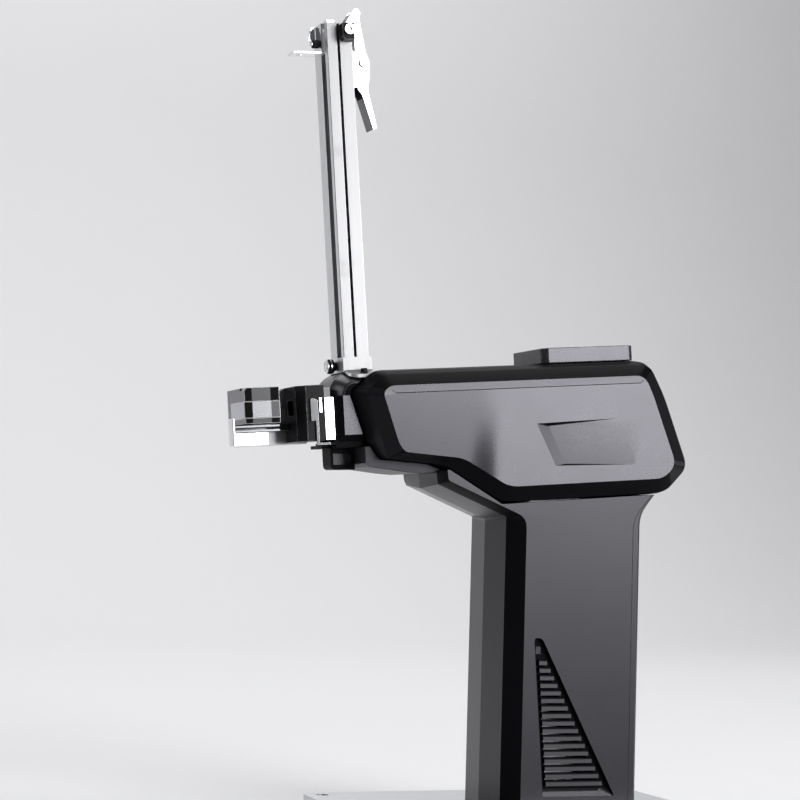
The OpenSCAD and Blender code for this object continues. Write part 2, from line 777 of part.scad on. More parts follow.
// Fine line under the strip
line_w = 0.5;
line_depth = 0.4;
module panel_line() {
    z = panel_top - 0.45 * head_crown;
    low = [
        [-panel_front + 4.5, z + 3.7], [-panel_front + 9, z], [panel_rear - 23.5, z],
        [panel_rear - 19, z + 4.2]
    ];
    along_y(panel_y - line_depth, panel_y + 1) polygon(concat(low,
        [for (k = [3 : -1 : 0]) low[k] + [0, line_w]]));
}
module head_shell(side) {
    last = len(head_steps) - 1;
    difference() {
        head_frame() on_side(side) difference() {
            union() {
                difference() {
                    loft([for (s = head_steps) head_section(s, s[0], 0)]);
                    top_strip_cut();
                    loft([for (i = [0 : last - 1])
                        let (s = head_steps[i]) head_section(s, i == 0 ? -1 : s[0] - wall, wall)]);
                }
                box(ramp_left[0] - 3, ramp_right[0] + 2, panel_y - wall - ramp_depth, panel_y - wall + 0.5,
                    ramp_z[0] - 4, ramp_z[1] + 4);
            }
            ramp_recess();
            panel_line();
            nose_notch();
            flange_room();
        }
        post_clearance();
        if (side > 0) {
            head_frame() head_screw_holes();
        }
    }
}
module head_shell_left() {
    color("#3a3b3f") head_shell(-1);
}
module head_shell_right() {
    color("#3a3b3f") head_shell(1);
}

// Casing screws on the far side, sunk into the right shells
casing_r = 2;
casing_head_r = 3.6;
casing_head_h = 1.8;
head_screw_at = [[-55, 60], [15, 68], [108, 62], [112, 22]];
column_screw_at = [[column_x + 80, deck + 150], [column_x + 35, deck + 175]];
module casing_screw(p, y) {
    rod_y(p[0], y - wall - 4, y - casing_head_h + tiny, p[1], casing_r);
    rod_y(p[0], y - casing_head_h, y - 0.2, p[1], casing_head_r);
}
module casing_hole(p, y) {
    rod_y(p[0], y - wall - 5, y + 1, p[1], casing_r + screw_gap);
    rod_y(p[0], y - casing_head_h - tiny, y + 1, p[1], casing_head_r + screw_gap);
}
module head_screw_holes() {
    for (p = head_screw_at) casing_hole(p, panel_y);
}
module column_screw_holes() {
    for (p = column_screw_at) casing_hole(p, side_y);
}
module casing_screws() {
    color("#505154") {
        head_frame() for (p = head_screw_at) casing_screw(p, panel_y);
        for (p = column_screw_at) casing_screw(p, side_y);
    }
}

// Belly under the front of the head
belly_front = -89.5;
belly_top = 43.8;
module head_belly() {
    low = neck_seat + seam;
    bend = core_low[2];
    soft = head_soft[2];
    head_frame() color("#242528") along_y(-belly_half_w, belly_half_w) polygon([
        [belly_front + 2.5, low + 6.4], [-61.5, low + 1.6], [-50, low], on_slope(low),
        bend + soft * direction(bend, core_low[3]) - [seam, seam],
        bend + soft * direction(bend, core_low[1]) - [0, seam], core_low[1] - [seam, 2 * seam],
        meet(core_low[0] - [0, 3 * seam], direction(core_low[0], core_low[1]), [0, belly_top], [1, 0]),
        [belly_front, belly_top], [belly_front, low + 9]
    ]);
}

// Nose: rounded cap between two cheeks, with the lower block underneath
plate_in = bar_half_w + slip;
plate_out = plate_in + plate_t;
plate_top = 90.2;
nose_top = head_top - 0.1;
nose_mid = [-92, nose_top - nose_r];
cap_t = nose_top - plate_top - slip;
cap_in_r = nose_r - cap_t;
// Rounded top of each cheek: distance from the inner face, then radius
dome_steps = [[0, 0.6], [3.5, 1.9], [6.5, 3.4], [9, 5], [11, 6.6], [12.2, 8]];
cheek_in = plate_out + slip;
cheek_low = 48.5;
notch_x = -76;
chin_top = cheek_low - slip;
module nose_notch() {
    box(cheek_x - 20, notch_x, -1, cheek_in + 0.5, cheek_low - 4, head_top + 5);
}
module chute_hole(z0, z1) {
    half = tip_half_w + 1.5;
    box(mast_x + mast_wall - 0.5, mast_x + mast_l - mast_wall - 0.5, -half, half, z0, z1);
}
module nose_cap() {
    head_frame() color("#33343a") difference() {
        along_y(-plate_out, plate_out) polygon(concat(
            arc(nose_mid, nose_r, 90, 180, 12), arc(nose_mid, cap_in_r, 180, 90, 12),
            [[notch_x - seam, nose_top - cap_t], [notch_x - seam, nose_top]]
        ));
        chute_hole(plate_top - 1, nose_top + 1);
    }
}
function head_front(z) = meet(core_low[9], direction(core_low[9], core_low[0]), [0, z], [1, 0]);
cheek_top = 79.4;
dome_low = cheek_top - 0.5;
cheek_bevel = 4;
cheek_outline = [
    [cheek_x, cheek_low], head_front(cheek_low) - [seam, 0], head_front(cheek_top) - [seam, 0],
    [cheek_x, cheek_top]
];
function dome_y(step) = cheek_in + step[0] / 12.2 * (nose_half_w - cheek_in - 0.3);
function head_slope(z) = meet(core_low[9], direction(core_low[9], core_low[8]), [0, z], [1, 0]) - [2 * seam, 0];
function dome_section(y, less, base) = let (r = nose_r - less, low = max(base + 0.5, core_low[9][1] + 1)) [y, concat(
    [[nose_mid[0] - r, base], [head_slope(low)[0] - 1, base], head_slope(low), head_slope(nose_mid[1] + r * sin(80))],
    arc(nose_mid, r, 80, 180, 12)
)];
module nose_cheek() {
    loft([
        [cheek_in, cheek_outline], [nose_half_w - cheek_bevel, cheek_outline],
        [nose_half_w, inset(cheek_outline, [cheek_bevel, 0.8, 0.3, cheek_bevel])]
    ]);
    loft([for (s = dome_steps) dome_section(dome_y(s), s[1], dome_low)]);
}
module nose_cheek_left() {
    color("#45464a") head_frame() on_side(-1) nose_cheek();
}
module nose_cheek_right() {
    color("#45464a") head_frame() on_side(1) nose_cheek();
}
chin_rear = belly_front - seam;
chin_front = chin_rear - chin_l;
slab_low = belly_top + 2 * seam;
slab_half_w = 22;
ledge_x = -120.5;
ledge_top = 46.5;
module lower_nose_block() {
    r = 3;
    head_frame() color("#1d1e21") difference() {
        union() {
            along_y(-chin_half_w, chin_half_w) polygon(concat(
                arc([chin_front + r, chin_low + r], r, 180, 270, 6),
                [[chin_rear, chin_low - 0.6], [chin_rear, slab_low + 1], [chin_front, slab_low + 1]]
            ));
            along_y(-slab_half_w, slab_half_w) polygon([
                [chin_front, slab_low], head_front(slab_low) - [3 * seam, 0],
                head_front(chin_top) - [3 * seam, 0], [chin_front, chin_top]
            ]);
            box(ledge_x, chin_front + 1, -12, 12, slab_low, ledge_top);
        }
        for (s = [-1, 1]) on_side(s) along_y(chin_half_w - 3.5, chin_half_w + 1) polygon(rounded([
            [chin_front + 2.1, chin_low + 3.4], [chin_rear - 1, chin_low + 3], [chin_rear - 1, chin_low + 10.2],
            [chin_front + 2.1, chin_low + 11.4]
        ], [0.8, 0.8, 3, 0.8]));
    }
}

// Frame plates with their spacers
pinion_pitch_r = rack_module * pinion_teeth / 2;
bar_low = punch_z - bar_h / 2;
rack_line = bar_low - 1.25 * rack_module;
shaft_z = rack_line - pinion_pitch_r;
drive_pitch_r = drive_module * drive_teeth / 2;
motor_distance = drive_module * (drive_teeth + motor_teeth) / 2;
motor_x = shaft_x + motor_distance * cos(motor_angle);
motor_z = shaft_z + motor_distance * sin(motor_angle);
plate_front = jaw_x + slip;
plate_rear = 92;
spacer_r = 4;
spacer_high = punch_z + bar_h / 2 + spacer_r + slip;
spacer_at = [[-66, bar_low - spacer_r - slip], [-66, spacer_high], [0, spacer_high], [84, 30], [84, spacer_high]];
module frame_plate(side) {
    on_side(side) along_y(plate_in, plate_out) difference() {
        polygon(concat([
            [plate_front, 53], [-40, 50], [5, post_top], [plate_rear, post_top],
            [plate_rear, 88], [notch_x + 12, 88], [notch_x - 1, plate_top]
        ], arc(nose_mid, cap_in_r - slip, 90, 180, 8), [
            nose_mid - [cap_in_r - slip, slip], [plate_front, nose_mid[1] - slip]
        ]));
        translate([shaft_x, shaft_z]) circle(bearing_r + running);
        translate([motor_x, motor_z]) circle(side > 0 ? motor_r + 0.6 : motor_boss_r + slip);
        for (p = spacer_at) translate(p) circle(spacer_screw_r + screw_gap);
    }
}
motor_boss_r = 8;
spacer_screw_r = 1.5;
module frame_plate_left() {
    head_frame() color("lightsteelblue") frame_plate(-1);
}
module frame_plate_right() {
    head_frame() color("lightsteelblue") frame_plate(1);
}
module frame_spacers() {
    head_frame() color("gray") for (p = spacer_at) {
        rod_y(p[0], -plate_in, plate_in, p[1], spacer_r);
        rod_y(p[0], -plate_out, plate_out, p[1], spacer_screw_r);
    }
}

// Gear teeth: involute flanks, thinned by the backlash
function tooth_angle(teeth, m, r) = let (
    base_r = m * teeth / 2 * cos(pressure_angle),
    roll = sqrt(max(0, pow(r / base_r, 2) - 1)),
    flank = roll * 180 / PI - atan(roll),
    at_pitch = 90 / teeth - backlash / (2 * m * teeth) * 180 / PI * 2
) at_pitch + tan(pressure_angle) * 180 / PI - pressure_angle - flank;
function polar(r, a) = r * [cos(a), sin(a)];
module gear_outline(teeth, m, turn) {
    pitch_r = m * teeth / 2;
    low_r = max(pitch_r * cos(pressure_angle), pitch_r - 1.2 * m);
    tip_r = pitch_r + 0.92 * m;
    root_r = pitch_r - 1.25 * m;
    flank = [for (k = [0 : 3]) low_r + (tip_r - low_r) * k / 3];
    polygon([
        for (i = [0 : teeth - 1]) let (c = turn + i * 360 / teeth) each concat(
            [polar(root_r, c - tooth_angle(teeth, m, low_r))],
            [for (r = flank) polar(r, c - tooth_angle(teeth, m, r))],
            [for (k = [3 : -1 : 0]) polar(flank[k], c + tooth_angle(teeth, m, flank[k]))],
            [polar(root_r, c + tooth_angle(teeth, m, low_r))]
        )
    ]);
}
module spur_gear(x, z, y0, y1, teeth, m, turn, bore) {
    translate([x, 0, z]) along_y(y0, y1) difference() {
        gear_outline(teeth, m, turn);
        circle(bore);
    }
}
gear_y1 = -plate_out - 1;
gear_y0 = gear_y1 - drive_w;
module drive_shaft() {
    head_frame() color("silver") rod_y(shaft_x, gear_y0 - 2, plate_out + 2, shaft_z, shaft_r);
}
module rack_pinion() {
    head_frame() color("darkgray")
        spur_gear(shaft_x, shaft_z, -pinion_w / 2, pinion_w / 2, pinion_teeth, rack_module, 90,
            shaft_r + running / 2);
}
module drive_gear() {
    head_frame() color("darkgray") difference() {
        spur_gear(shaft_x, shaft_z, gear_y0, gear_y1, drive_teeth, drive_module, motor_angle,
            shaft_r + running / 2);
        for (i = [0 : 4]) {
            hole = polar(drive_pitch_r * 0.58, i * 72 + 30);
            rod_y(shaft_x + hole[0], gear_y0 - 1, gear_y1 + 1, shaft_z + hole[1], 5);
        }
    }
}
module shaft_bearings() {
    head_frame() color("goldenrod") for (s = [-1, 1]) on_side(s) difference() {
        rod_y(shaft_x, plate_in, plate_out, shaft_z, bearing_r);
        rod_y(shaft_x, plate_in - 1, plate_out + 1, shaft_z, shaft_r + running);
    }
}
module drive_motor() {
    head_frame() color("dimgray") union() {
        rod_y(motor_x, -plate_in + seam, motor_l - plate_in, motor_z, motor_r);
        rod_y(motor_x, -plate_out, -plate_in + seam + tiny, motor_z, motor_boss_r);
        rod_y(motor_x, motor_l - plate_in - tiny, motor_l - plate_in + 3, motor_z, motor_r * 0.7);
    }
}
module motor_pinion() {
    head_frame() color("silver") union() {
        spur_gear(motor_x, motor_z, gear_y0, gear_y1, motor_teeth, drive_module,
            motor_angle + 180 + 180 / motor_teeth, 0.5);
        rod_y(motor_x, gear_y0 - 1.5, -plate_out - slip, motor_z, 4.5);
    }
}

// Punch: hardened tip on a bar that carries the rack
tip_front = mast_x + mast_l - mast_wall + slip;
tip_rear = tip_front + 30;
bar_rear = 86;
rack_pitch = PI * rack_module;
module punch_tip() {
    head_frame() color("silver") difference() {
        box(tip_front, tip_rear, -tip_half_w, tip_half_w, punch_z - tip_h / 2, punch_z + tip_h / 2);
        rod_z(tip_front - 1, 0, punch_z - tip_h, punch_z + tip_h, 3);
    }
}
module punch_bar() {
    half_pitch = rack_pitch / 4 - backlash / 2;
    tip_h_rack = 0.92 * rack_module;
    root_h = 1.25 * rack_module;
    lean = tan(pressure_angle);
    first = 0;
    count = floor((bar_rear - 4 - shaft_x) / rack_pitch);
    head_frame() color("lightgray") union() {
        box(tip_rear, bar_rear, -bar_half_w, bar_half_w, bar_low, bar_low + bar_h);
        along_y(-pinion_w / 2 + 0.5, pinion_w / 2 - 0.5) for (i = [first - 1 : count - 1])
            translate([shaft_x + (i + 0.5) * rack_pitch, rack_line]) polygon([
                [-half_pitch - root_h * lean, root_h + tiny], [-half_pitch + tip_h_rack * lean, -tip_h_rack],
                [half_pitch - tip_h_rack * lean, -tip_h_rack], [half_pitch + root_h * lean, root_h + tiny]
            ]);
    }
}

// Control pod with display and buttons
pod_low = head_top + seam;
pod_top = pod_low + pod_h;
button_x = pod_x + pod_l - 18;
display_x = pod_x + 9;
display_t = 1.5;
button_well = pod_top - 7;
module control_pod() {
    half = pod_w / 2;
    end = pod_x + pod_l;
    head_frame() color("#55565a") difference() {
        translate([0, 0, pod_low]) linear_extrude(pod_h) polygon([
            [pod_x + pod_bevel, -half], [end - pod_bevel, -half], [end, -half + pod_bevel],
            [end, half - pod_bevel], [end - pod_bevel, half], [pod_x + pod_bevel, half],
            [pod_x, half - pod_bevel], [pod_x, -half + pod_bevel]
        ]);
        box(display_x, display_x + display_l, -display_w / 2, display_w / 2, pod_top - display_t,
            pod_top + 1);
        for (i = [-1 : 1]) rod_z(button_x, i * button_pitch, button_well, pod_top + 1, button_r + slip);
    }
}
module pod_display() {
    head_frame() color("#101418")
        box(display_x + seam, display_x + display_l - seam, -display_w / 2 + seam, display_w / 2 - seam,
            pod_top - display_t, pod_top - 0.2);
}
module push_button(i) {
    low = button_well + button_travel + 0.5;
    head_frame() rod_z(button_x, i * button_pitch, low, pod_top + button_rise, button_r);
}
module start_button() {
    color("seagreen") push_button(-1);
}
module stop_button() {
    color("firebrick") push_button(1);
}
module mode_button() {
    color("gray") push_button(0);
}

// Mast foot, mast and cap
flange_low = head_top + tiny;
mast_low = flange_low + flange_t;
mast_top = mast_low + mast_h;
mast_rear = mast_x + mast_l;
collar_top = mast_low + collar_h;
collar_front = mast_x - seam - collar_wall;
collar_rear = mast_rear + seam + collar_wall;
collar_half = mast_w / 2 + seam + collar_wall;
clamp_z = nose_top + clamp_knob_r - 0.1;
clamp_shank_r = 1.5;
// Ears of the flange: they slope down on both sides of the nose
ear_x = [collar_front + 0.9, collar_rear + 1.2];
ear_in = collar_half - 1;
ear_half = 24;
ear_drop = 4.4;
flange_screw_at = [ear_x[1] - 9, ear_half - 4];
flange_head = mast_low - ear_drop * (flange_screw_at[1] - ear_in) / (ear_half - ear_in) - 0.6;
module flange_room() {
    along_x(ear_x[0] - 4, ear_x[1] + 2 * seam) polygon([
        [-ear_half - 2 * seam, head_top + 6], [-ear_half - 2 * seam, head_top - ear_drop - 2 * seam],
        [-ear_in + 1 + 2 * seam, head_top], [-ear_in + 1 + 2 * seam, head_top + 6]
    ]);
    along_x(ear_x[0] - 4, ear_x[1] + 2 * seam) polygon([
        [ear_in - 1 - 2 * seam, head_top + 6], [ear_in - 1 - 2 * seam, head_top],
        [ear_half + 2 * seam, head_top - ear_drop - 2 * seam], [ear_half + 2 * seam, head_top + 6]
    ]);
}
module mast_foot() {
    head_frame() color("gainsboro") difference() {
        union() {
            box(collar_front, ear_x[1], -ear_in, ear_in, flange_low, mast_low);
            intersection() {
                translate([(ear_x[0] + ear_x[1]) / 2, 0, flange_low - 10])
                    rounded_sheet(ear_x[1] - ear_x[0], 2 * ear_half, 20, 7);
                along_x(ear_x[0], ear_x[1]) polygon([
                    [-ear_half, flange_low - ear_drop], [-ear_in + 1, flange_low], [ear_in - 1, flange_low],
                    [ear_half, flange_low - ear_drop], [ear_half, mast_low - ear_drop], [ear_in - 1, mast_low],
                    [-ear_in + 1, mast_low], [-ear_half, mast_low - ear_drop]
                ]);
            }
            box(collar_front, collar_rear, -collar_half, collar_half, flange_low, collar_top);
        }
        box(mast_x - seam, mast_rear + seam, -mast_w / 2 - seam, mast_w / 2 + seam, mast_low, collar_top + 1);
        chute_hole(flange_low - 1, mast_low + 1);
        rod_x(collar_front - 1, mast_x + 1, 0, clamp_z, clamp_shank_r + running);
        for (s = [-1, 1]) {
            rod_z(flange_screw_at[0], s * flange_screw_at[1], flange_low - ear_drop - 1, mast_low + 1,
                flange_screw_r + screw_gap);
            rod_z(flange_screw_at[0], s * flange_screw_at[1], flange_head - tiny, mast_low + 3,
                flange_screw_r * 2 + screw_gap);
        }
    }
}
flange_screw_r = 1.3;
module flange_screws() {
    head_frame() color("silver") for (s = [-1, 1]) {
        rod_z(flange_screw_at[0], s * flange_screw_at[1], flange_head - 1.2, flange_head + tiny, flange_screw_r);
        rod_z(flange_screw_at[0], s * flange_screw_at[1], flange_head, flange_head + 3, flange_screw_r * 2);
    }
}
module clamp_knob() {
    x1 = collar_front - slip;
    head_frame() color("gainsboro") union() {
        rod_x(x1 - clamp_knob_l, x1 - 2, 0, clamp_z, clamp_knob_r);
        rod_x(x1 - 2 - tiny, x1, 0, clamp_z, clamp_knob_r * 0.6);
        rod_x(x1 - tiny, mast_x - seam, 0, clamp_z, clamp_shank_r);
    }
}
mast_groove = 2.2;
module mast_profile() {
    half = mast_w / 2;
    difference() {
        translate([mast_x, -half]) square([mast_l, mast_w]);
        translate([mast_x + mast_wall, -half + mast_wall + 1])
            square([mast_l - 2 * mast_wall, mast_w - 2 * mast_wall - 2]);
        translate([mast_x - 1, mast_slot_y - mast_slot_w / 2]) square([mast_wall + 2, mast_slot_w]);
        for (s = [-1, 1]) translate([mast_x + mast_l * 0.45, s * half])
            square([1.6, 2 * mast_groove], center = true);
    }
}
module mast_channel() {
    head_frame() color("gainsboro") translate([0, 0, mast_low]) linear_extrude(mast_h) mast_profile();
}
module mast_cap() {
    head_frame() color("silver") box(mast_x, mast_x + mast_l / 3, -mast_w / 2, mast_w / 2, mast_top, mast_top + cap_h);
}

// Stop block on the near side of the mast's top
stop_y = -mast_w / 2 - seam;
stop_x = mast_rear - stop_l - 0.5;
stop_z = mast_top - 1.5;
module stop_block() {
    head_frame() color("#1d1e21") difference() {
        along_y(stop_y - stop_t, stop_y) polygon([
            [stop_x + 1.5, stop_z - stop_h], [stop_x + stop_l, stop_z - stop_h],
            [stop_x + stop_l, stop_z], [stop_x, stop_z], [stop_x, stop_z - stop_h + 2]
        ]);
        rod_y(stop_x + stop_l / 2, stop_y - stop_t - 1, stop_y + 1, stop_z - 5, 1.75 + screw_gap);
    }
}
module stop_screw() {
    y0 = stop_y - stop_t;
    x = stop_x + stop_l / 2;
    head_frame() color("dimgray") difference() {
        union() {
            rod_y(x, y0 - 3, y0, stop_z - 5, stop_screw_r);
            rod_y(x, y0 - tiny, stop_y, stop_z - 5, 1.75);
        }
        translate([x, y0 - 1, stop_z - 5]) rotate([90, 0, 0]) cylinder(h = 4, r = 1.8, $fn = 6);
    }
}

// Latch at the mast's rear
pivot_x = mast_rear + pivot_back;
pivot_z = mast_top - pivot_drop;
tab_in = latch_half_w + slip;
tab_out = tab_in + latch_t;
module latch_bracket() {
    x0 = mast_rear + seam;
    low = pivot_z - 18;
    high = pivot_z + 9;
    head_frame() color("gainsboro") difference() {
        union() {
            box(x0, x0 + latch_t, -tab_out, tab_out, low, high);
            for (s = [-1, 1]) on_side(s) along_y(tab_in, tab_out) polygon([
                [x0, low], [pivot_x + 3, low + 4], [pivot_x + 4.5, pivot_z], [pivot_x + 3, high - 4], [x0, high]
            ]);
        }
        rod_y(pivot_x, -tab_out - 1, tab_out + 1, pivot_z, pivot_r + running);
    }
}
module latch_pivot() {
    head_frame() color("silver") union() {
        rod_y(pivot_x, -tab_out - seam, tab_out + seam, pivot_z, pivot_r);
        for (s = [-1, 1]) on_side(s) rod_y(pivot_x, tab_out + seam - tiny, tab_out + 1.8, pivot_z, pivot_r * 1.6);
    }
}
module latch_lever() {
    hook_z = pivot_drop + 0.8;
    outline = [
        [-4.5, -18], [-1.5, -22], [5.2, -handle_l], [8, -handle_l + 1], [3, -20], [4.5, 3], [2.5, 8],
        [-0.9, hook_z + 4], [0.1, hook_z + 8], [-1.5, hook_z + 10.8], [-4, hook_z + 10.8],
        [-pivot_back - 2, hook_z], [-5, hook_z], [-5.2, 8], [-5.2, -8]
    ];
    slot = [
        [-12, -26], [-0.6, -24], [1.5, -20], [2.8, 3], [1, 8], [-2.4, hook_z + 4], [-2, hook_z + 14],
        [-20, hook_z + 14], [-20, 3]
    ];
    head_frame() color("gainsboro") translate([pivot_x, 0, pivot_z]) difference() {
        along_y(-latch_half_w, latch_half_w) polygon(outline);
        along_y(-latch_half_w + latch_t, latch_half_w - latch_t) polygon(slot);
        rod_y(0, -latch_half_w - 1, latch_half_w + 1, 0, pivot_r + running);
    }
}

// Follower: slider in the mast, bracket with tab in front and thumb screw
slider_top = mast_top - slider_drop;
slider_low = slider_top - slider_h;
slider_x0 = mast_x + mast_wall + slip;
slider_x1 = mast_rear - mast_wall - slip;
slider_half = mast_w / 2 - mast_wall - 1 - slip;
neck_half = mast_slot_w / 2 - slip;
bracket_x = mast_x - slip;
thumb_z = slider_low + 11;
thumb_shank_r = 1.25;
module follower_slider() {
    head_frame() color("gray") difference() {
        union() {
            box(slider_x0, slider_x1, -slider_half, slider_half, slider_low, slider_top);
            box(bracket_x, slider_x0 + tiny, mast_slot_y - neck_half, mast_slot_y + neck_half, slider_low + 4,
                slider_top - 2);
        }
        rod_x(bracket_x - 1, slider_x0 + 4, mast_slot_y, thumb_z, thumb_shank_r + running);
    }
}
module follower_bracket() {
    x1 = bracket_x - tiny;
    low = slider_low + 4;
    head_frame() color("gainsboro") difference() {
        union() {
            box(x1 - tab_t, x1, -tab_w / 2, tab_w / 2, low, mast_top + 1);
            box(x1 - tab_l, x1, -tab_w / 2, tab_w / 2, low, low + tab_t);
            along_y(tab_w / 2 - tab_t, tab_w / 2) polygon([
                [x1 - tab_t - 6, thumb_z + 4], [x1 - tab_t + tiny, thumb_z + 4],
                [x1 - tab_t + tiny, mast_top + 1], [x1 - tab_t - 3, mast_top + 1]
            ]);
        }
        rod_x(x1 - tab_t - 1, x1 + 1, mast_slot_y, thumb_z, thumb_shank_r + running);
        rod_z(x1 - tab_l + 6, 0, low - 1, low + tab_t + 1, 2);
    }
}
module follower_knob() {
    x1 = bracket_x - tab_t - slip;
    head_frame() color("gainsboro") union() {
        rod_x(x1 - thumb_l, x1, mast_slot_y, thumb_z, thumb_r);
        rod_x(x1 - tiny, slider_x0 + 3, mast_slot_y, thumb_z, thumb_shank_r);
    }
}

// Jaws: fixed jaw, anvil, and the frame plate that joins them behind the throat
jaw_front = jaw_x - jaw_l;
anvil_rear = jaw_front - throat_gap;
anvil_front = anvil_rear - anvil_l;
anvil_low = jaw_top - anvil_h;
arm_in = throat_back;
arm_out = arm_in + arm_t;
arm_low = chin_top + seam;
jaw_screw_at = [[anvil_front + 7, jaw_top - 8], [anvil_rear - 6, anvil_low + 6],
    [jaw_front + 6, jaw_top - 6], [jaw_x - 4, jaw_low + 7]];
trigger_z = [58, 63];
trigger_at = [jaw_front + 9, throat_back - 6];
trigger_turn = 12;
module jaw_block() {
    head_frame() color("#1d1e21") difference() {
        translate([0, 0, jaw_low]) linear_extrude(jaw_top - jaw_low) polygon([
            [jaw_front, -jaw_near + 8], [jaw_front + 5, -jaw_near], [jaw_x, -jaw_near],
            [jaw_x, arm_in - seam], [jaw_front, arm_in - seam]
        ]);
        box(jaw_front - 1, jaw_x + 1, -tip_half_w - slip, tip_half_w + slip, punch_z - tip_h / 2 - slip,
            punch_z + tip_h / 2 + slip);
        box(jaw_front - 1, trigger_at[0] + 4, trigger_at[1] - 4, arm_in + 1, trigger_z[0] - slip,
            trigger_z[1] + slip);
        rod_z(trigger_at[0], trigger_at[1], trigger_z[0] - 5, trigger_z[1] + 4, trigger_pin_r + running / 2);
        jaw_screw_shanks(screw_gap);
    }
}
module anvil_block() {
    band = [anvil_low + 3.8, anvil_low + 14.8];
    head_frame() color("#9a9ca0") difference() {
        union() {
            box(anvil_front, anvil_rear, -jaw_near, arm_in - seam, anvil_low, jaw_top);
            box(anvil_front - 0.6, anvil_rear, -jaw_near - 0.6, arm_in - seam, band[0], band[1]);
        }
        for (s = [-1, 1])
            rod_z(anvil_rear, s * (scoop_r - 0.1), punch_z - tip_h / 2, punch_z + tip_h / 2, scoop_r);
        along_y(-jaw_near - 1, -jaw_near / 2) polygon([
            [anvil_front - 1, jaw_top - 3], [anvil_front - 1, jaw_top + 1], [anvil_front + 3, jaw_top + 1]
        ]);
        jaw_screw_shanks(screw_gap);
    }
}
module jaw_screw_shanks(gap) {
    for (p = jaw_screw_at) rod_y(p[0], arm_in - 9, arm_out + tiny, p[1], jaw_screw_r + gap);
}
module jaw_frame() {
    head_frame() color("#77797d") difference() {
        along_y(arm_in, arm_out) polygon([
            [jaw_x - 4, arm_low], [jaw_x, arm_low + 4], [jaw_x, jaw_top], [anvil_front, jaw_top],
            [anvil_front, arm_low + 3], [anvil_front + 3, arm_low]
        ]);
        jaw_screw_shanks(screw_gap);
    }
}
module jaw_screws() {
    head_frame() color("#3a3b3f") difference() {
        union() {
            jaw_screw_shanks(0);
            for (p = jaw_screw_at) rod_y(p[0], arm_out, arm_out + 4, p[1], jaw_screw_r * 1.8);
        }
        for (p = jaw_screw_at) translate([p[0], arm_out + 6, p[1]]) rotate([90, 0, 0])
            cylinder(h = 4, r = jaw_screw_r, $fn = 6);
    }
}

// Thin sheets round the jaws
bracket_front = anvil_front - 9;
bracket_top = anvil_low + 4.1;
bracket_rear = anvil_rear - 9.2;
module guide_plates() {
    head_frame() color("#55575c") for (z = [anvil_low - 1.2, anvil_low - 4.2])
        box(bracket_front + sheet_t + seam, anvil_rear - 1, -jaw_near, arm_in, z - guide_t, z);
}
module lower_bracket() {
    plate_z = anvil_low - 5.8;
    near = -jaw_near;
    head_frame() color("whitesmoke") union() {
        box(bracket_front, bracket_front + sheet_t, near, near + 10.5, arm_low, bracket_top);
        box(bracket_front, bracket_rear, near, near + sheet_t, arm_low, plate_z);
        translate([0, 0, arm_low]) linear_extrude(sheet_t) polygon([
            [bracket_front, near], [bracket_rear, near], [bracket_rear, arm_in], [anvil_front + 4, arm_in],
            [bracket_front, near + 10.5]
        ]);
    }
}
rail_low = chin_top + sheet_t + 2 * seam;
rail_top = dome_low - slip;
module jaw_rails() {
    x1 = cheek_x - seam;
    head_frame() color("whitesmoke") {
        for (s = [-1, 1]) on_side(s) {
            box(jaw_x + 2 * seam, x1, cheek_in, cheek_in + rail_w, rail_low, rail_top);
            box(jaw_x + seam, nose_mid[0] - nose_r - seam, cheek_in, cheek_in + rail_w - 1, rail_top - tiny, 85.5);
        }
        box(jaw_x - 3.9, jaw_x - 1.2, -jaw_near - 0.9, -jaw_near - seam / 2, rail_top - 10, rail_top);
    }
}
cover_low = ledge_top + seam;
module jaw_cover() {
    x0 = jaw_x - 7.2;
    x1 = jaw_x + 2.5;
    head_frame() color("gainsboro") along_y(-jaw_near - 1.6, -jaw_near - seam) polygon([
        [x0, cover_low], [x1, cover_low], [x1, cover_low + sheet_t], [x0 + 2, cover_low + sheet_t],
        [x0 + 2, rail_top - 1.3], [x0, rail_top - 1.3], [x0, rail_top - 0.5], [x0 - 3.3, rail_top - 0.5],
        [x0 - 3.3, rail_top - 15.4], [x0, rail_top - 15.4]
    ]);
}

// Trigger finger at the back of the throat, on its pin
module trigger_lever() {
    head_frame() color("silver") difference() {
        translate([trigger_at[0], trigger_at[1], trigger_z[0]]) linear_extrude(trigger_z[1] - trigger_z[0]) union() {
            circle(trigger_pin_r + 1.6);
            translate([-trigger_l, -trigger_t / 2]) square([trigger_l, trigger_t]);
        }
        rod_z(trigger_at[0], trigger_at[1], trigger_z[0] - 1, trigger_z[1] + 1, trigger_pin_r + running);
    }
}
module trigger_pin() {
    head_frame() color("gray")
        rod_z(trigger_at[0], trigger_at[1], trigger_z[0] - 5, trigger_z[1] + 4, trigger_pin_r);
}

base_plate();
rubber_feet();
support_post();
post_bolts();
column_shell_left();
column_shell_right();
rear_panel();
power_inlet();
inlet_pins();
switch_bezel();
switch_rocker();
power_supply();
control_board();
head_shell_left();
head_shell_right();
head_belly();
nose_cap();
nose_cheek_left();
nose_cheek_right();
lower_nose_block();
casing_screws();
frame_plate_left();
frame_plate_right();
frame_spacers();
punch_bar();
punch_tip();
drive_shaft();
rack_pinion();
drive_gear();
shaft_bearings();
drive_motor();
motor_pinion();
control_pod();
pod_display();
start_button();
stop_button();
mode_button();
mast_foot();
flange_screws();
mast_channel();
mast_cap();
clamp_knob();
stop_block();
stop_screw();
latch_bracket();
latch_pivot();
latch_lever();
follower_slider();
follower_bracket();
follower_knob();
jaw_block();
jaw_rails();
jaw_cover();
anvil_block();
jaw_frame();
jaw_screws();
guide_plates();
lower_bracket();
trigger_lever();
trigger_pin();
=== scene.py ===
import json
import math

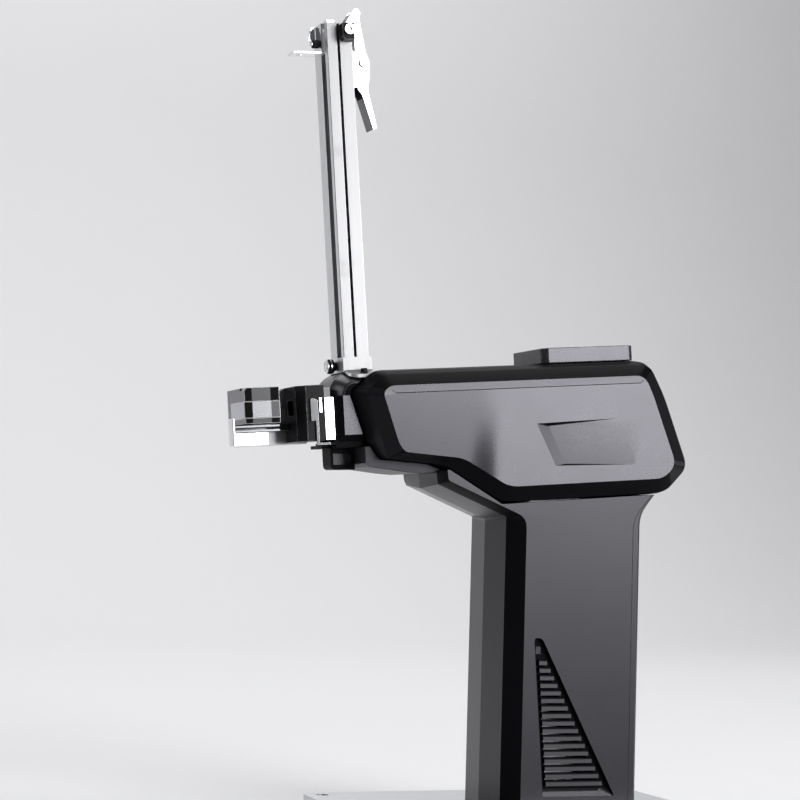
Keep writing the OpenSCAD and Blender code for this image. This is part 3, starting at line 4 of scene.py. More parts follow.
import bmesh
import bpy
from bpy.props import FloatProperty, FloatVectorProperty, IntProperty, PointerProperty
from mathutils import Matrix, Vector


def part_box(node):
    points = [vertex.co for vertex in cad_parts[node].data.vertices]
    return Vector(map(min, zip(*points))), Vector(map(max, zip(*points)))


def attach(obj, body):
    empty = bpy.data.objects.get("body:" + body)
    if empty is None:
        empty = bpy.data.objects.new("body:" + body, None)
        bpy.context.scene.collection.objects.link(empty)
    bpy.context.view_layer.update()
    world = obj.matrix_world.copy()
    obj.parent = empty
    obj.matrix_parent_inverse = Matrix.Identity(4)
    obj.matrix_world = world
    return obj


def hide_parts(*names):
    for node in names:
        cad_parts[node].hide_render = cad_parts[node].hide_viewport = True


bl_info = {
    "name": "Bag clipping machine",
    "version": (1, 0, 0),
    "blender": (4, 5, 0),
    "location": "View3D > Sidebar > Clipper",
    "description": "Dresses the packed solids of a bag clipping machine with rounded edges and finishes",
    "category": "Add Mesh",
}

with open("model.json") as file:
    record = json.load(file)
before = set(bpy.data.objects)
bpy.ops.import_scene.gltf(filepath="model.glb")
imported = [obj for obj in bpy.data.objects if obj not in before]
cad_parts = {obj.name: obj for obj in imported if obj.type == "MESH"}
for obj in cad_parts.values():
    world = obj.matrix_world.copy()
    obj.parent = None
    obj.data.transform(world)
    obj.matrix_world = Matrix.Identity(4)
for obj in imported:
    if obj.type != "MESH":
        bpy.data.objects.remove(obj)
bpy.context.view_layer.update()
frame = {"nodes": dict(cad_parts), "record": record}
MM = 0.001
BODY = {n: body for body, nodes in frame["record"]["behaviour"]["bodies"].items() for n in nodes}
SLOT = {part["node"]: part["material_slot"] for part in frame["record"]["subparts"]}
LEAN = math.radians(-5)
HEAD = Matrix.Translation((0.0061, 0, 0.2246)) @ Matrix.Rotation(LEAN, 4, "Y")

# The head's side panels, in millimetres of the head: their lowest edge, the top strip's edge, the depth
# at which they begin and their height over it, and the place, slant and width of the ramp where they lean
PANEL_LOW, STRIP_Z, PANEL_ROOT, PANEL_RISE = 11, 78.1, 38, 11
RAMP_X, RAMP_SLANT, RAMP_WIDTH = -5, math.tan(math.radians(8)), 24
LEAN_CUTS_X, LEAN_CUTS_Z = (*range(-80, -30, 10), *range(-30, 16, 3)), range(17, 79, 6)
# Faces that reach further out than this, in metres, are cut so that they can lean
OUTER_FACES = 0.0385

# Light grey that the casing's rounded edges lighten towards, partly wear and partly a painted highlight; bare
# steel shows on worn blackened edges
EDGE_WEAR_AND_HIGHLIGHT_PLASTIC, BARE_STEEL = (0.2, 0.2, 0.215, 1), (0.34, 0.34, 0.36, 1)


# Finishes


class Wire:
    """An output socket of a finish. Sums and products of wires and numbers add Math nodes."""

    def __init__(self, finish, socket):
        self.finish = finish
        self.socket = socket

    def _math(self, operation, *values):
        return self.finish.add("ShaderNodeMath", {"operation": operation}, dict(enumerate(values)))

    def __add__(self, other):
        return self._math("ADD", self, other)

    def __radd__(self, other):
        return self._math("ADD", other, self)

    def __sub__(self, other):
        return self._math("SUBTRACT", self, other)

    def __rsub__(self, other):
        return self._math("SUBTRACT", other, self)

    def __mul__(self, other):
        return self._math("MULTIPLY", self, other)

    def __rmul__(self, other):
        return self._math("MULTIPLY", other, self)


class Finish:
    """A material's node tree, and the one way to add a node to it."""

    def __init__(self, name):
        self.material = bpy.data.materials.new(name)
        self.material.use_nodes = True
        self.tree = self.material.node_tree
        self.tree.nodes.clear()

    def add(self, kind, settings=(), inputs=(), output=0):
        node = self.tree.nodes.new(kind)
        for key, value in dict(settings).items():
            setattr(node, key, value)
        for key, value in dict(inputs).items():
            if isinstance(value, Wire):
                self.tree.links.new(value.socket, node.inputs[key])
            else:
                node.inputs[key].default_value = value
        return Wire(self, node.outputs[output]) if node.outputs else node

    def place(self, stretch=(1, 1, 1), turn=(0, 0, 0)):
        spot = self.add("ShaderNodeTexCoord", output="Object")
        turned = self.add("ShaderNodeMapping", (), {"Vector": spot, "Rotation": turn})
        return self.add("ShaderNodeMapping", (), {"Vector": turned, "Scale": stretch})

    def noise(self, place, scale, detail=2.0, roughness=0.5):
        return self.add("ShaderNodeTexNoise", (),
                        {"Vector": place, "Scale": scale, "Detail": detail, "Roughness": roughness})

    def between(self, value, low, high):
        return self.add("ShaderNodeMapRange", {"interpolation_type": "SMOOTHSTEP"},
                        {"Value": value, "From Min": low, "From Max": high})

    def mix(self, share, first, second):
        return self.add("ShaderNodeMix", {"data_type": "RGBA"}, {0: share, 6: first, 7: second}, 2)

    # The rounded edges, which the finishes lighten partly as wear and partly as a painted highlight
    def worn(self):
        return self.add("ShaderNodeAttribute", {"attribute_name": "rounded_edge"}, output="Fac")

    def bump(self, height, strength, distance):
        return self.add("ShaderNodeBump", (), {"Height": height, "Strength": strength, "Distance": distance})

    def surface(self, inputs):
        shader = self.add("ShaderNodeBsdfPrincipled", (), inputs)
        self.add("ShaderNodeOutputMaterial", (), {"Surface": shader})
        return self.material


def shade(colour, share):
    """The colour, darker or lighter by a share, as four numbers."""
    return tuple(c * share for c in colour[:3]) + (1.0,)


def moulded(name, colour, rough, grain=1.0, specular=0.5, tint=(1, 1, 1), edge=0.15):
    """Spark-textured plastic: fine grit, soft cloudiness and edges rubbed a little smoother and lighter, the
    lighter colour partly wear and partly a painted highlight.
    """
    f = Finish(name)
    spot = f.place()
    cloud = f.noise(spot, 26, 4)
    mottle = f.noise(spot, 520, 2)
    grit = f.noise(spot, 2400, 2, 0.6)
    edge_wear_and_highlight = f.worn() * f.between(f.noise(spot, 160, 3), 0.35, 0.7)
    tone = f.mix(cloud, shade(colour, 0.82), shade(colour, 1.2))
    tone = f.mix(f.between(grit, 0.45, 0.75) * 0.2, tone, shade(colour, 1.5))
    # Rounded edges lighten towards light grey, partly wear and partly a painted highlight
    tone = f.mix(edge_wear_and_highlight * edge, tone, EDGE_WEAR_AND_HIGHLIGHT_PLASTIC)
    return f.surface({
        "Base Color": tone,
        "Roughness": rough + (cloud - 0.5) * 0.07 + (mottle - 0.5) * 0.04 * grain - edge_wear_and_highlight * 0.06,
        "Specular IOR Level": specular,
        "Specular Tint": shade(tint, 1),
        "Normal": f.bump(grit * 0.7 + mottle * 0.4, 0.07 * grain, 0.00006),
    })


def brushed(name, colour, rough, along=(1, 1, 1), turn=(0, 0, 0), streak=0.14):
    """Bare metal with fine lines along one direction, faint handling marks and bright edges, partly wear and
    partly a painted highlight.
    """
    f = Finish(name)
    lines = f.noise(f.place(along, turn), 900, 3, 0.65)
    broad = f.noise(f.place(along, turn), 190, 2)
    spot = f.place()
    marks = f.between(f.noise(spot, 46, 5, 0.6), 0.52, 0.75)
    edge_wear_and_highlight = f.worn()
    tone = f.mix(lines, shade(colour, 0.84), shade(colour, 1.05))
    tone = f.mix(marks * 0.25, tone, shade(colour, 0.72))
    # Rounded edges lighten towards white, partly wear and partly a painted highlight
    tone = f.mix(edge_wear_and_highlight * 0.5, tone, shade((1, 1, 1), 0.95))
    return f.surface({
        "Base Color": tone,
        "Metallic": 1.0,
        "Roughness": rough + (lines - 0.5) * streak + (broad - 0.5) * 0.06 + marks * 0.07 - edge_wear_and_highlight * 0.05,
        "Normal": f.bump(lines * 0.7 + broad * 0.5, 0.12, 0.00006),
    })


def blackened(name, colour, rough):
    """Blackened steel: dark oxide, oily cloudiness and steel showing on the edges."""
    f = Finish(name)
    spot = f.place()
    cloud = f.noise(spot, 60, 4)
    grit = f.noise(spot, 1500, 2)
    edge_wear_and_highlight = f.worn() * f.between(f.noise(spot, 240, 3), 0.3, 0.7)
    tone = f.mix(cloud, shade(colour, 0.7), shade(colour, 1.35))
    tone = f.mix(edge_wear_and_highlight * 0.7, tone, BARE_STEEL)
    return f.surface({
        "Base Color": tone,
        "Metallic": edge_wear_and_highlight * 0.8,
        "Roughness": rough + (cloud - 0.5) * 0.16 + (grit - 0.5) * 0.08,
        "Specular IOR Level": 0.14,
        "Normal": f.bump(grit * 0.6 + cloud * 0.5, 0.14, 0.00006),
    })


def rubbery(name, colour):
    """Matt rubber with a powdery bloom."""
    f = Finish(name)
    spot = f.place()
    bloom = f.noise(spot, 90, 5)
    grain = f.noise(spot, 1300, 2)
    return f.surface({
        "Base Color": f.mix(f.between(bloom, 0.4, 0.8), shade(colour, 0.7), shade(colour, 1.8)),
        "Roughness": 0.78 + (bloom - 0.5) * 0.2,
        "Normal": f.bump(grain, 0.3, 0.0001),
    })


def board_lacquer(name, colour):
    """Green lacquer over copper tracks."""
    f = Finish(name)
    tracks = f.add("ShaderNodeTexBrick", {"offset": 0.37, "squash": 0.6}, {
        "Vector": f.place(turn=(math.pi / 2, 0, 0)), "Scale": 130.0, "Mortar Size": 0.03,
        "Color1": (0, 0, 0, 1), "Color2": (0, 0, 0, 1), "Mortar": (1, 1, 1, 1)}, "Fac")
    cloud = f.noise(f.place(), 70, 3)
    tone = f.mix(cloud, shade(colour, 0.7), shade(colour, 1.2))
    return f.surface({
        "Base Color": f.mix(tracks * 0.7, tone, shade(colour, 2.2)),
        "Roughness": 0.32 + (cloud - 0.5) * 0.12,
        "Normal": f.bump(tracks, 0.3, 0.0001),
    })


def display_glass(name, colour):
    """Dark display window with a faint cell grid under the glass."""
    f = Finish(name)
    cells = f.add("ShaderNodeTexBrick", {"offset": 0.0}, {
        "Vector": f.place(), "Scale": 300.0, "Mortar Size": 0.012,
        "Color1": (0, 0, 0, 1), "Color2": (0, 0, 0, 1), "Mortar": (1, 1, 1, 1)}, "Fac")
    smear = f.noise(f.place(), 55, 5, 0.6)
    return f.surface({
        "Base Color": f.mix(cells * 0.25, shade(colour, 0.8), shade(colour, 3.0)),
        "Roughness": 0.07 + f.between(smear, 0.5, 0.8) * 0.13,
        "Coat Weight": 1.0,
        "Coat Roughness": 0.04,
    })


def finish(slot, look):
    """The finish of a material slot of the record, or a further finish of a slot's faces, made once."""
    name = slot + "_finish"
    made = bpy.data.materials.get(name)
    if made:
        return made
    recorded = next((m["base_color"] for m in frame["record"]["materials"] if m["slot"] == slot), None)
    sheen = look.casing_sheen
    upright = (0, -LEAN, 0)
    lengthwise, tall, drawn = (0.04, 1, 1), (1, 1, 0.05), (1, 1, 0.012)
    makers = {
        "black_plastic": (moulded, look.casing_colour, look.casing_rough, 1.0, 0.7, sheen, 0.4),
        # Painted shade: darker copies of the black plastic that hardly reflect, for the rims, and a little
        # lighter for the soft rims
        "casing_rim": (moulded, look.rim_painted_shade_colour, 0.36, 0.5, 0.02),
        "rim_soft": (moulded, look.rim_painted_shade_colour, 0.36, 0.5, 0.11),
        # Painted shade: a copy of the black plastic that reflects less, for the column, the rear panel and
        # the pocket floor
        "casing_column": (moulded, look.casing_colour, 0.3, 1.0, 0.38, sheen, 0.4),
        # Painted shade: a dimmer copy of the black plastic for the belly and the vent's slats
        "casing_shade": (moulded, look.casing_colour, 0.42, 0.7, 0.36, sheen),
        "dark_fittings": (moulded, look.fitting_colour, 0.42, 0.7),
        "black_steel": (blackened, look.black_steel_colour, 0.42),
        "base_metal": (brushed, look.plate_colour, 0.42, (0.03, 1, 1)),
        "steel": (brushed, look.steel_colour, 0.34, (0.05, 1, 1), upright),
        "polished_steel": (brushed, look.bright_colour, 0.13, tall, upright, 0.06),
        "mast_metal": (brushed, look.mast_colour, 0.5, drawn, upright, 0.12),
        # Painted highlight: a brighter copy of the mast metal for the mast's front faces
        "mast_front": (brushed, look.bright_colour, 0.4, drawn, upright, 0.12),
        "anvil_metal": (brushed, look.anvil_colour, 0.34, lengthwise, upright, 0.16),
        # Painted reflections and shades of the anvil: brighter and darker copies of its steel
        "anvil_band": (brushed, shade(look.anvil_colour, 2.5), 0.3, lengthwise, upright, 0.16),
        "anvil_side": (brushed, shade(look.anvil_colour, 0.66), 0.28, lengthwise, upright, 0.12),
        "anvil_shade": (brushed, shade(look.anvil_colour, 0.19), 0.3, lengthwise, upright, 0.12),
        "anvil_dark": (brushed, shade(look.anvil_colour, 0.014), 0.36, lengthwise, upright, 0.12),
        # Painted shade: a darker copy of the steel for the short rail, the lugs and the jaw cover
        "rail_satin": (brushed, shade(look.anvil_colour, 0.34), 0.3, tall, upright, 0.06),
        # Painted shade: black for grooves, gaps, rail ends and the latch's rounded edges
        "groove_dark": (blackened, look.black_steel_colour, 0.6),
        "brass": (brushed, recorded, 0.25),
        "motor_case": (moulded, recorded, 0.45),
        "supply_case": (brushed, recorded, 0.4, tall),
        "rubber": (rubbery, look.rubber_colour),
        "board": (board_lacquer, recorded),
        "display": (display_glass, recorded),
        "green_button": (moulded, look.start_colour, 0.34, 0.5),
        "red_button": (moulded, look.stop_colour, 0.34, 0.5),
        "grey_button": (moulded, look.mode_colour, 0.34, 0.5),
    }
    make, *values = makers[slot]
    return make(name, *values)


# Shapes


def solid_copy(node):
    """A node's shape with its doubles merged and its flat faces joined."""
    bm = bmesh.new()
    bm.from_mesh(frame["nodes"][node].data)
    bmesh.ops.remove_doubles(bm, verts=bm.verts, dist=2e-5)
    bmesh.ops.dissolve_limit(bm, angle_limit=math.radians(0.6), verts=bm.verts, edges=bm.edges)
    return bm


def round_edges(bm, width, segments=3, sharp=28):
    """Rounds the edges that are sharper than an angle and have room, and marks the new faces."""
    room = {f: f.calc_area() / max(e.calc_length() for e in f.edges) for f in bm.faces}
    edges = [e for e in bm.edges if e.is_manifold and e.calc_face_angle(0) > math.radians(sharp)
             and min(room[f] for f in e.link_faces) > 2.2 * width]
    made = bmesh.ops.bevel(bm, geom=edges, offset=width, offset_type="OFFSET", segments=segments,
                           profile=0.5, affect="EDGES", material=-1, clamp_overlap=True, loop_slide=True)
    layer = bm.loops.layers.float.get("rounded_edge") or bm.loops.layers.float.new("rounded_edge")
    for face in made["faces"]:
        for loop in face.loops:
            loop[layer] = 1.0
    return bm


def turned(profile, steps, place, flutes=0, grip=(0, 0), depth=0.0):
    """A closed turned shape from (radius, height) points, fluted between two heights, put in place."""
    bm = bmesh.new()
    verts = [bm.verts.new((r * MM, 0, z * MM)) for r, z in profile]
    edges = [bm.edges.new(pair) for pair in zip(verts, verts[1:])]
    bmesh.ops.spin(bm, geom=verts + edges, cent=(0, 0, 0), axis=(0, 0, 1), angle=math.tau, steps=steps,
                   use_merge=True)
    bmesh.ops.remove_doubles(bm, verts=bm.verts, dist=1e-6)
    bmesh.ops.recalc_face_normals(bm, faces=bm.faces)
    widest = max(r for r, z in profile) * MM
    for v in bm.verts if flutes else ():
        around = math.hypot(v.co.x, v.co.y)
        if grip[0] * MM <= v.co.z <= grip[1] * MM and around > 0.8 * widest:
            dip = 1 - depth * (0.5 - 0.5 * math.cos(flutes * math.atan2(v.co.y, v.co.x)))
            v.co.x, v.co.y = v.co.x * dip, v.co.y * dip
    bmesh.ops.transform(bm, matrix=place, verts=bm.verts)
    return bm


def gathered(shapes):
    """Several shapes as one."""
    whole = bmesh.new()
    for bm in shapes:
        mesh = bpy.data.meshes.new("part")
        bm.to_mesh(mesh)
        bm.free()
        whole.from_mesh(mesh)
        bpy.data.meshes.remove(mesh)
    return whole


def pointing(point, direction):
    """A place whose Z runs along a direction of the head, at a point of the head in millimetres."""
    turn = Vector((0, 0, 1)).rotation_difference(Vector(direction)).to_matrix().to_4x4()
    return HEAD @ Matrix.Translation(Vector(point) * MM) @ turn


def in_head(point):
    """A point of the scene in the head's own frame, in millimetres."""
    return (HEAD.inverted() @ point) / MM


def eased(share):
    """A share from 0 to 1 that starts and ends gently."""
    share = min(max(share, 0.0), 1.0)
    return share * share * (3 - 2 * share)


def lean_panels(bm, depth):
    """Leans the front part of the head's side panels inwards below their top strip."""
    across, up = HEAD.to_3x3() @ Vector((1, 0, 0)), HEAD.to_3x3() @ Vector((0, 0, 1))
    cuts = [(HEAD @ Vector((x * MM, 0, 0)), across) for x in LEAN_CUTS_X]
    cuts += [(HEAD @ Vector((0, 0, z * MM)), up) for z in LEAN_CUTS_Z]
    for point, direction in cuts:
        outer = [f for f in bm.faces if max(abs(v.co.y) for v in f.verts) > OUTER_FACES]
        around = {e for f in outer for e in f.edges} | {v for f in outer for v in f.verts}
        bmesh.ops.bisect_plane(bm, geom=outer + list(around), dist=1e-6, plane_co=point, plane_no=direction)
    for v in bm.verts:
        p = in_head(v.co)
        down = max(0.0, (STRIP_Z - p.z) / (STRIP_Z - PANEL_LOW))
        middle = RAMP_X + (p.z - STRIP_Z) * RAMP_SLANT
        ahead = 1 - eased((p.x - middle + RAMP_WIDTH / 2) / RAMP_WIDTH)
        out = eased((abs(p.y) - PANEL_ROOT) / PANEL_RISE)
        v.co.y -= math.copysign(depth * down * ahead * out, v.co.y)
    return bm


def cut_across(bm, places, direction):
    """Cuts a shape by planes across a direction of the head, at distances in millimetres."""
    for distance in places:
        point = HEAD @ (Vector(direction) * distance * MM)
        bmesh.ops.bisect_plane(bm, geom=bm.verts[:] + bm.edges[:] + bm.faces[:], dist=1e-6,
                               plane_co=point, plane_no=HEAD.to_3x3() @ Vector(direction))


def trimmed(bm, point, direction):
    """Cuts off what lies beyond a plane of the head, and closes the cut."""
    cut = bmesh.ops.bisect_plane(bm, geom=bm.verts[:] + bm.edges[:] + bm.faces[:], dist=1e-6,
                                 plane_co=HEAD @ (Vector(point) * MM),
                                 plane_no=HEAD.to_3x3() @ Vector(direction).normalized(), clear_outer=True)
    bmesh.ops.holes_fill(bm, edges=[e for e in cut["geom_cut"] if isinstance(e, bmesh.types.BMEdge)])


def piece(bm, name, slot, body, nodes, look, smooth=42, other=None):
    """A finished piece from a shape: shaded, dressed in its slot's finish and riding on its body.

    Faces for which other gives the name of a finish wear that one instead."""
    worn = [slot]
    for face in bm.faces if other else ():
        choice = other(face) or slot
        if choice not in worn:
            worn.append(choice)
        face.material_index = worn.index(choice)
    bm.normal_update()
    for face in bm.faces:
        face.smooth = True
    for edge in bm.edges:
        edge.smooth = edge.calc_face_angle(0) < math.radians(smooth)
    mesh = bpy.data.meshes.new(name)
    bm.to_mesh(mesh)
    bm.free()
    for kind in worn:
        mesh.materials.append(finish(kind, look))
    obj = bpy.data.objects.new(name, mesh)
    bpy.context.scene.collection.objects.link(obj)
    even = obj.modifiers.new("even_shading", "WEIGHTED_NORMAL")
    even.keep_sharp = True
    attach(obj, body)
    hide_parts(*nodes)
    return obj


def dressed(nodes, width, look, segments=3, sharp=28, shaped=None, other=None, smooth=42):
    """Each node as a copy with rounded edges, shaped further where asked, in the finish of its slot."""
    for node in nodes:
        bm = round_edges(solid_copy(node), width, segments, sharp)
        if shaped:
            shaped(bm)
        piece(bm, node + ".rounded", SLOT[node], BODY[node], [node], look, smooth, other)


def painted(nodes, look):
    """Nodes whose shape is right, in the finish of their slot."""
    for node in nodes:
        for held in frame["nodes"][node].material_slots:
            held.material = finish(SLOT[node], look)


# Sizes and colours


def colour(name, text, value):
    """A colour that a user would change."""
    return FloatVectorProperty(name=name, description=text, subtype="COLOR", size=3, min=0, max=1,
                               default=value)


def length(name, text, value):
    """A length in metres that a user would change."""
    return FloatProperty(name=name, description=text, unit="LENGTH", default=value, min=0, precision=5)


def power(name, text, value):
    """A lamp's power in watts that a user would change."""
    return FloatProperty(name=name, description=text, unit="POWER", default=value)


class ClipperLook(bpy.types.PropertyGroup):
    """Sizes and colours of the machine's looks."""

    casing_colour: colour("Casing", "Colour of the moulded column, head and nose", (0.012, 0.012, 0.0135))
    casing_sheen: colour("Casing sheen", "Tint of the casing's reflections", (0.93, 0.91, 1.0))
    # The painted shade of the rims, darker than the casing
    rim_painted_shade_colour: colour("Casing rims", "Colour of the smooth rims round the casing's panels",
                       (0.004, 0.004, 0.005))
    panel_lean: length("Panel lean", "How far the front of the head's side panels leans in at the bottom",
                       0.004)
    casing_rough: FloatProperty(name="Casing roughness", description="Roughness of the moulded casing",
                                subtype="FACTOR", min=0, max=1, default=0.28)
    fitting_colour: colour("Fittings", "Colour of the inlet, switch and other dark fittings",
                           (0.012, 0.012, 0.013))
    black_steel_colour: colour("Black steel", "Colour of the blackened jaw parts", (0.005, 0.005, 0.006))
    plate_colour: colour("Base plate", "Colour of the base plate's metal", (0.66, 0.67, 0.69))
    steel_colour: colour("Steel", "Colour of the satin steel parts", (0.6, 0.61, 0.63))
    # Also the colour of the painted highlight on the mast's front
    bright_colour: colour("Bright metal", "Colour of the polished parts and the mast's front",
                          (0.88, 0.89, 0.9))
    mast_colour: colour("Mast", "Colour of the mast's satin aluminium", (0.4, 0.4, 0.41))
    # The anvil's painted reflections and shades are lighter and darker copies of this colour
    anvil_colour: colour("Anvil", "Colour of the anvil's darkened steel", (0.26, 0.262, 0.275))
    rubber_colour: colour("Rubber", "Colour of the feet", (0.03, 0.03, 0.03))
    start_colour: colour("Start button", "Colour of the start button", (0.03, 0.3, 0.1))
    stop_colour: colour("Stop button", "Colour of the stop button", (0.45, 0.02, 0.02))
    mode_colour: colour("Mode button", "Colour of the mode button", (0.3, 0.31, 0.33))
    casing_edge: length("Casing edge", "Rounding of the moulded casing's edges", 0.0007)
    belly_edge: length("Belly edge", "Rounding of the belly's edges", 0.003)
    metal_edge: length("Metal edge", "Rounding of the machined parts' edges", 0.0004)
    fine_edge: length("Fine edge", "Rounding of thin sheet and small screws", 0.0002)
    turn_steps: IntProperty(name="Steps of a turn", description="Flats round a turned part", default=48,
                            min=12)


class ClipperStage(bpy.types.PropertyGroup):
    """Floor, light and camera."""

    floor_colour: colour("Floor", "Colour of the floor and backdrop", (0.82, 0.82, 0.83))
    room_colour: colour("Room", "Colour of the room's own light", (0.1, 0.1, 0.108))
    key_power: power("Key light", "Power of the large soft light", 29)
    fill_power: power("Fill light", "Power of the soft light at the front", 7)
    top_power: power("Top light", "Power of the soft light over the backdrop", 76)
    card_power: power("Cards", "Power of the small soft lights beside and above", 7)
    lens: FloatProperty(name="Lens", description="Focal length of the camera in millimetres", default=94.5)


class PieceMaker:
    """What the operators that make pieces share."""

    bl_options = {"REGISTER", "UNDO"}

    def execute(self, context):
        self.make(context.scene.clipper_look)
        return {"FINISHED"}


class CLIPPER_OT_base(PieceMaker, bpy.types.Operator):
    """Base plate of light metal on four rubber feet"""

    bl_idname = "clipper.base"
    bl_label = "Base plate and feet"

    def make(self, look):
        dressed(["base_plate"], look.casing_edge, look)
        low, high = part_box("rubber_feet")
        r = 12
        profile = [(0, 1.2), (r - 5, 1.2), (r - 4.4, 0.5), (r - 3.6, 0), (r - 1.2, 0), (r - 0.4, 0.25),
                   (r, 1.0), (r - 0.3, 2.6), (r - 1.1, 2.9), (r - 1.1, 3.3), (r - 0.3, 3.6), (r - 0.4, 5.6),
                   (r - 0.8, 6), (0, 6)]
        feet = [turned(profile, look.turn_steps, Matrix.Translation((x, y, low.z)))
                for x in (low.x + r * MM, high.x - r * MM) for y in (low.y + r * MM, high.y - r * MM)]
        piece(gathered(feet), "rubber_feet.turned", "rubber", "machine", ["rubber_feet"], look)


class CLIPPER_OT_column(PieceMaker, bpy.types.Operator):
    """Column in two moulded halves with its vent, and the panel behind"""

    bl_idname = "clipper.column"
    bl_label = "Column"

    # Millimetres of the scene
    VENT_X, VENT_Z, VENT_FACE, VENT_FLOOR = (33, 100), (25, 135), 42.7, 40
    SILL_TOP, NECK_LOW = 32, 210

    def make(self, look):
        dressed(["column_shell_left", "column_shell_right"], look.casing_edge, look, other=self.slanted)
        # The rear panel wears the column's painted shade
        dressed(["rear_panel"], look.casing_edge, look, other=lambda face: "casing_column")

    def slanted(self, face):
        """The bands between the column's front and its sides, the vent's floor and the ends of its slats get
        a dark painted shade, the slats a lighter painted shade and the rest of the column a painted shade
        darker than the head. The vent's sill is as bright as the head."""
        spot, facing, up = face.calc_center_median() / MM, abs(face.normal.y), abs(face.normal.z)
        framed = self.VENT_X[0] < spot.x < self.VENT_X[1] and self.VENT_Z[0] < spot.z < self.VENT_Z[1]
        if framed and abs(spot.y) < self.VENT_FACE:
            if spot.z < self.SILL_TOP and up > 0.4:
                return None
            deep = face.normal.x < -0.5 or abs(spot.y) < self.VENT_FLOOR
            return "casing_rim" if deep else "casing_shade"
        band = 0.25 < facing < 0.9 and (up < 0.45 or spot.z > self.NECK_LOW)
        return "casing_rim" if band else "casing_column"


class CLIPPER_OT_head(PieceMaker, bpy.types.Operator):
    """Head in two moulded halves, and its belly"""

    bl_idname = "clipper.head"
    bl_label = "Head"

    # Millimetres of the head
    LINE_Y, LINE_LOW = (52.05, 52.15), 77.9

    def make(self, look):
        dressed(["head_shell_left", "head_shell_right"], look.casing_edge, look, other=self.outside_panel,
                shaped=lambda bm: lean_panels(bm, look.panel_lean), smooth=20)
        # The whole belly wears a painted shade
        dressed(["head_belly"], look.belly_edge, look, 5, other=lambda face: "casing_shade")

    def outside_panel(self, face):
        """The rims round the panels and the fine line under the top strip get a dark painted shade, and the
        walls of the panels' recess a lighter painted shade."""
        spot, facing = in_head(face.calc_center_median()), abs(face.normal.y)
        if facing > 0.9995 and self.LINE_Y[0] < abs(spot.y) < self.LINE_Y[1] and spot.z > self.LINE_LOW:
            return "casing_rim"
        if facing > 0.84:
            return None
        wall = abs(face.normal.x) > 0.45 and abs(face.normal.z) < 0.5
        return "rim_soft" if wall else "casing_rim"


class CLIPPER_OT_nose(PieceMaker, bpy.types.Operator):
    """Nose cap, cheeks and lower block"""

    bl_idname = "clipper.nose"
    bl_label = "Nose"

    # Millimetres of the head, and metres for the pocket
    DOME_LOW, LEDGE_FRONT, POCKET_FLOOR = 79, -114, 0.0083

    def make(self, look):
        dressed(["nose_cap"], look.casing_edge, look)
        dressed(["nose_cheek_left", "nose_cheek_right"], look.casing_edge, look, other=self.round_cheek)
        dressed(["lower_nose_block"], look.casing_edge, look, other=self.outside_pocket,
                shaped=lambda bm: trimmed(bm, (self.LEDGE_FRONT, 0, 0), (-1, 0, 0)))

    def round_cheek(self, face):
        """The bevels round the cheek's flat side, and the flat side of the dome over it, get a dark painted
        shade.
        """
        flat = abs(face.normal.y) > 0.84
        low = in_head(face.calc_center_median()).z < self.DOME_LOW
        return "casing_rim" if flat != low else None

    def outside_pocket(self, face):
        """The block wears the rims' dark painted shade, and the floor of the pocket a lighter painted shade,
        so that it is brighter than the rest of the block.
        """
        inside = abs(face.normal.y) > 0.9 and abs(face.calc_center_median().y) < self.POCKET_FLOOR
        return "casing_column" if inside else "casing_rim"


class CLIPPER_OT_pod(PieceMaker, bpy.types.Operator):
    """Control pod with its display and three buttons"""

    bl_idname = "clipper.pod"
    bl_label = "Control pod"

    def make(self, look):
        dressed(["control_pod"], look.casing_edge, look)
        dressed(["pod_display"], look.fine_edge, look)
        dressed(["start_button", "stop_button", "mode_button"], look.metal_edge, look)


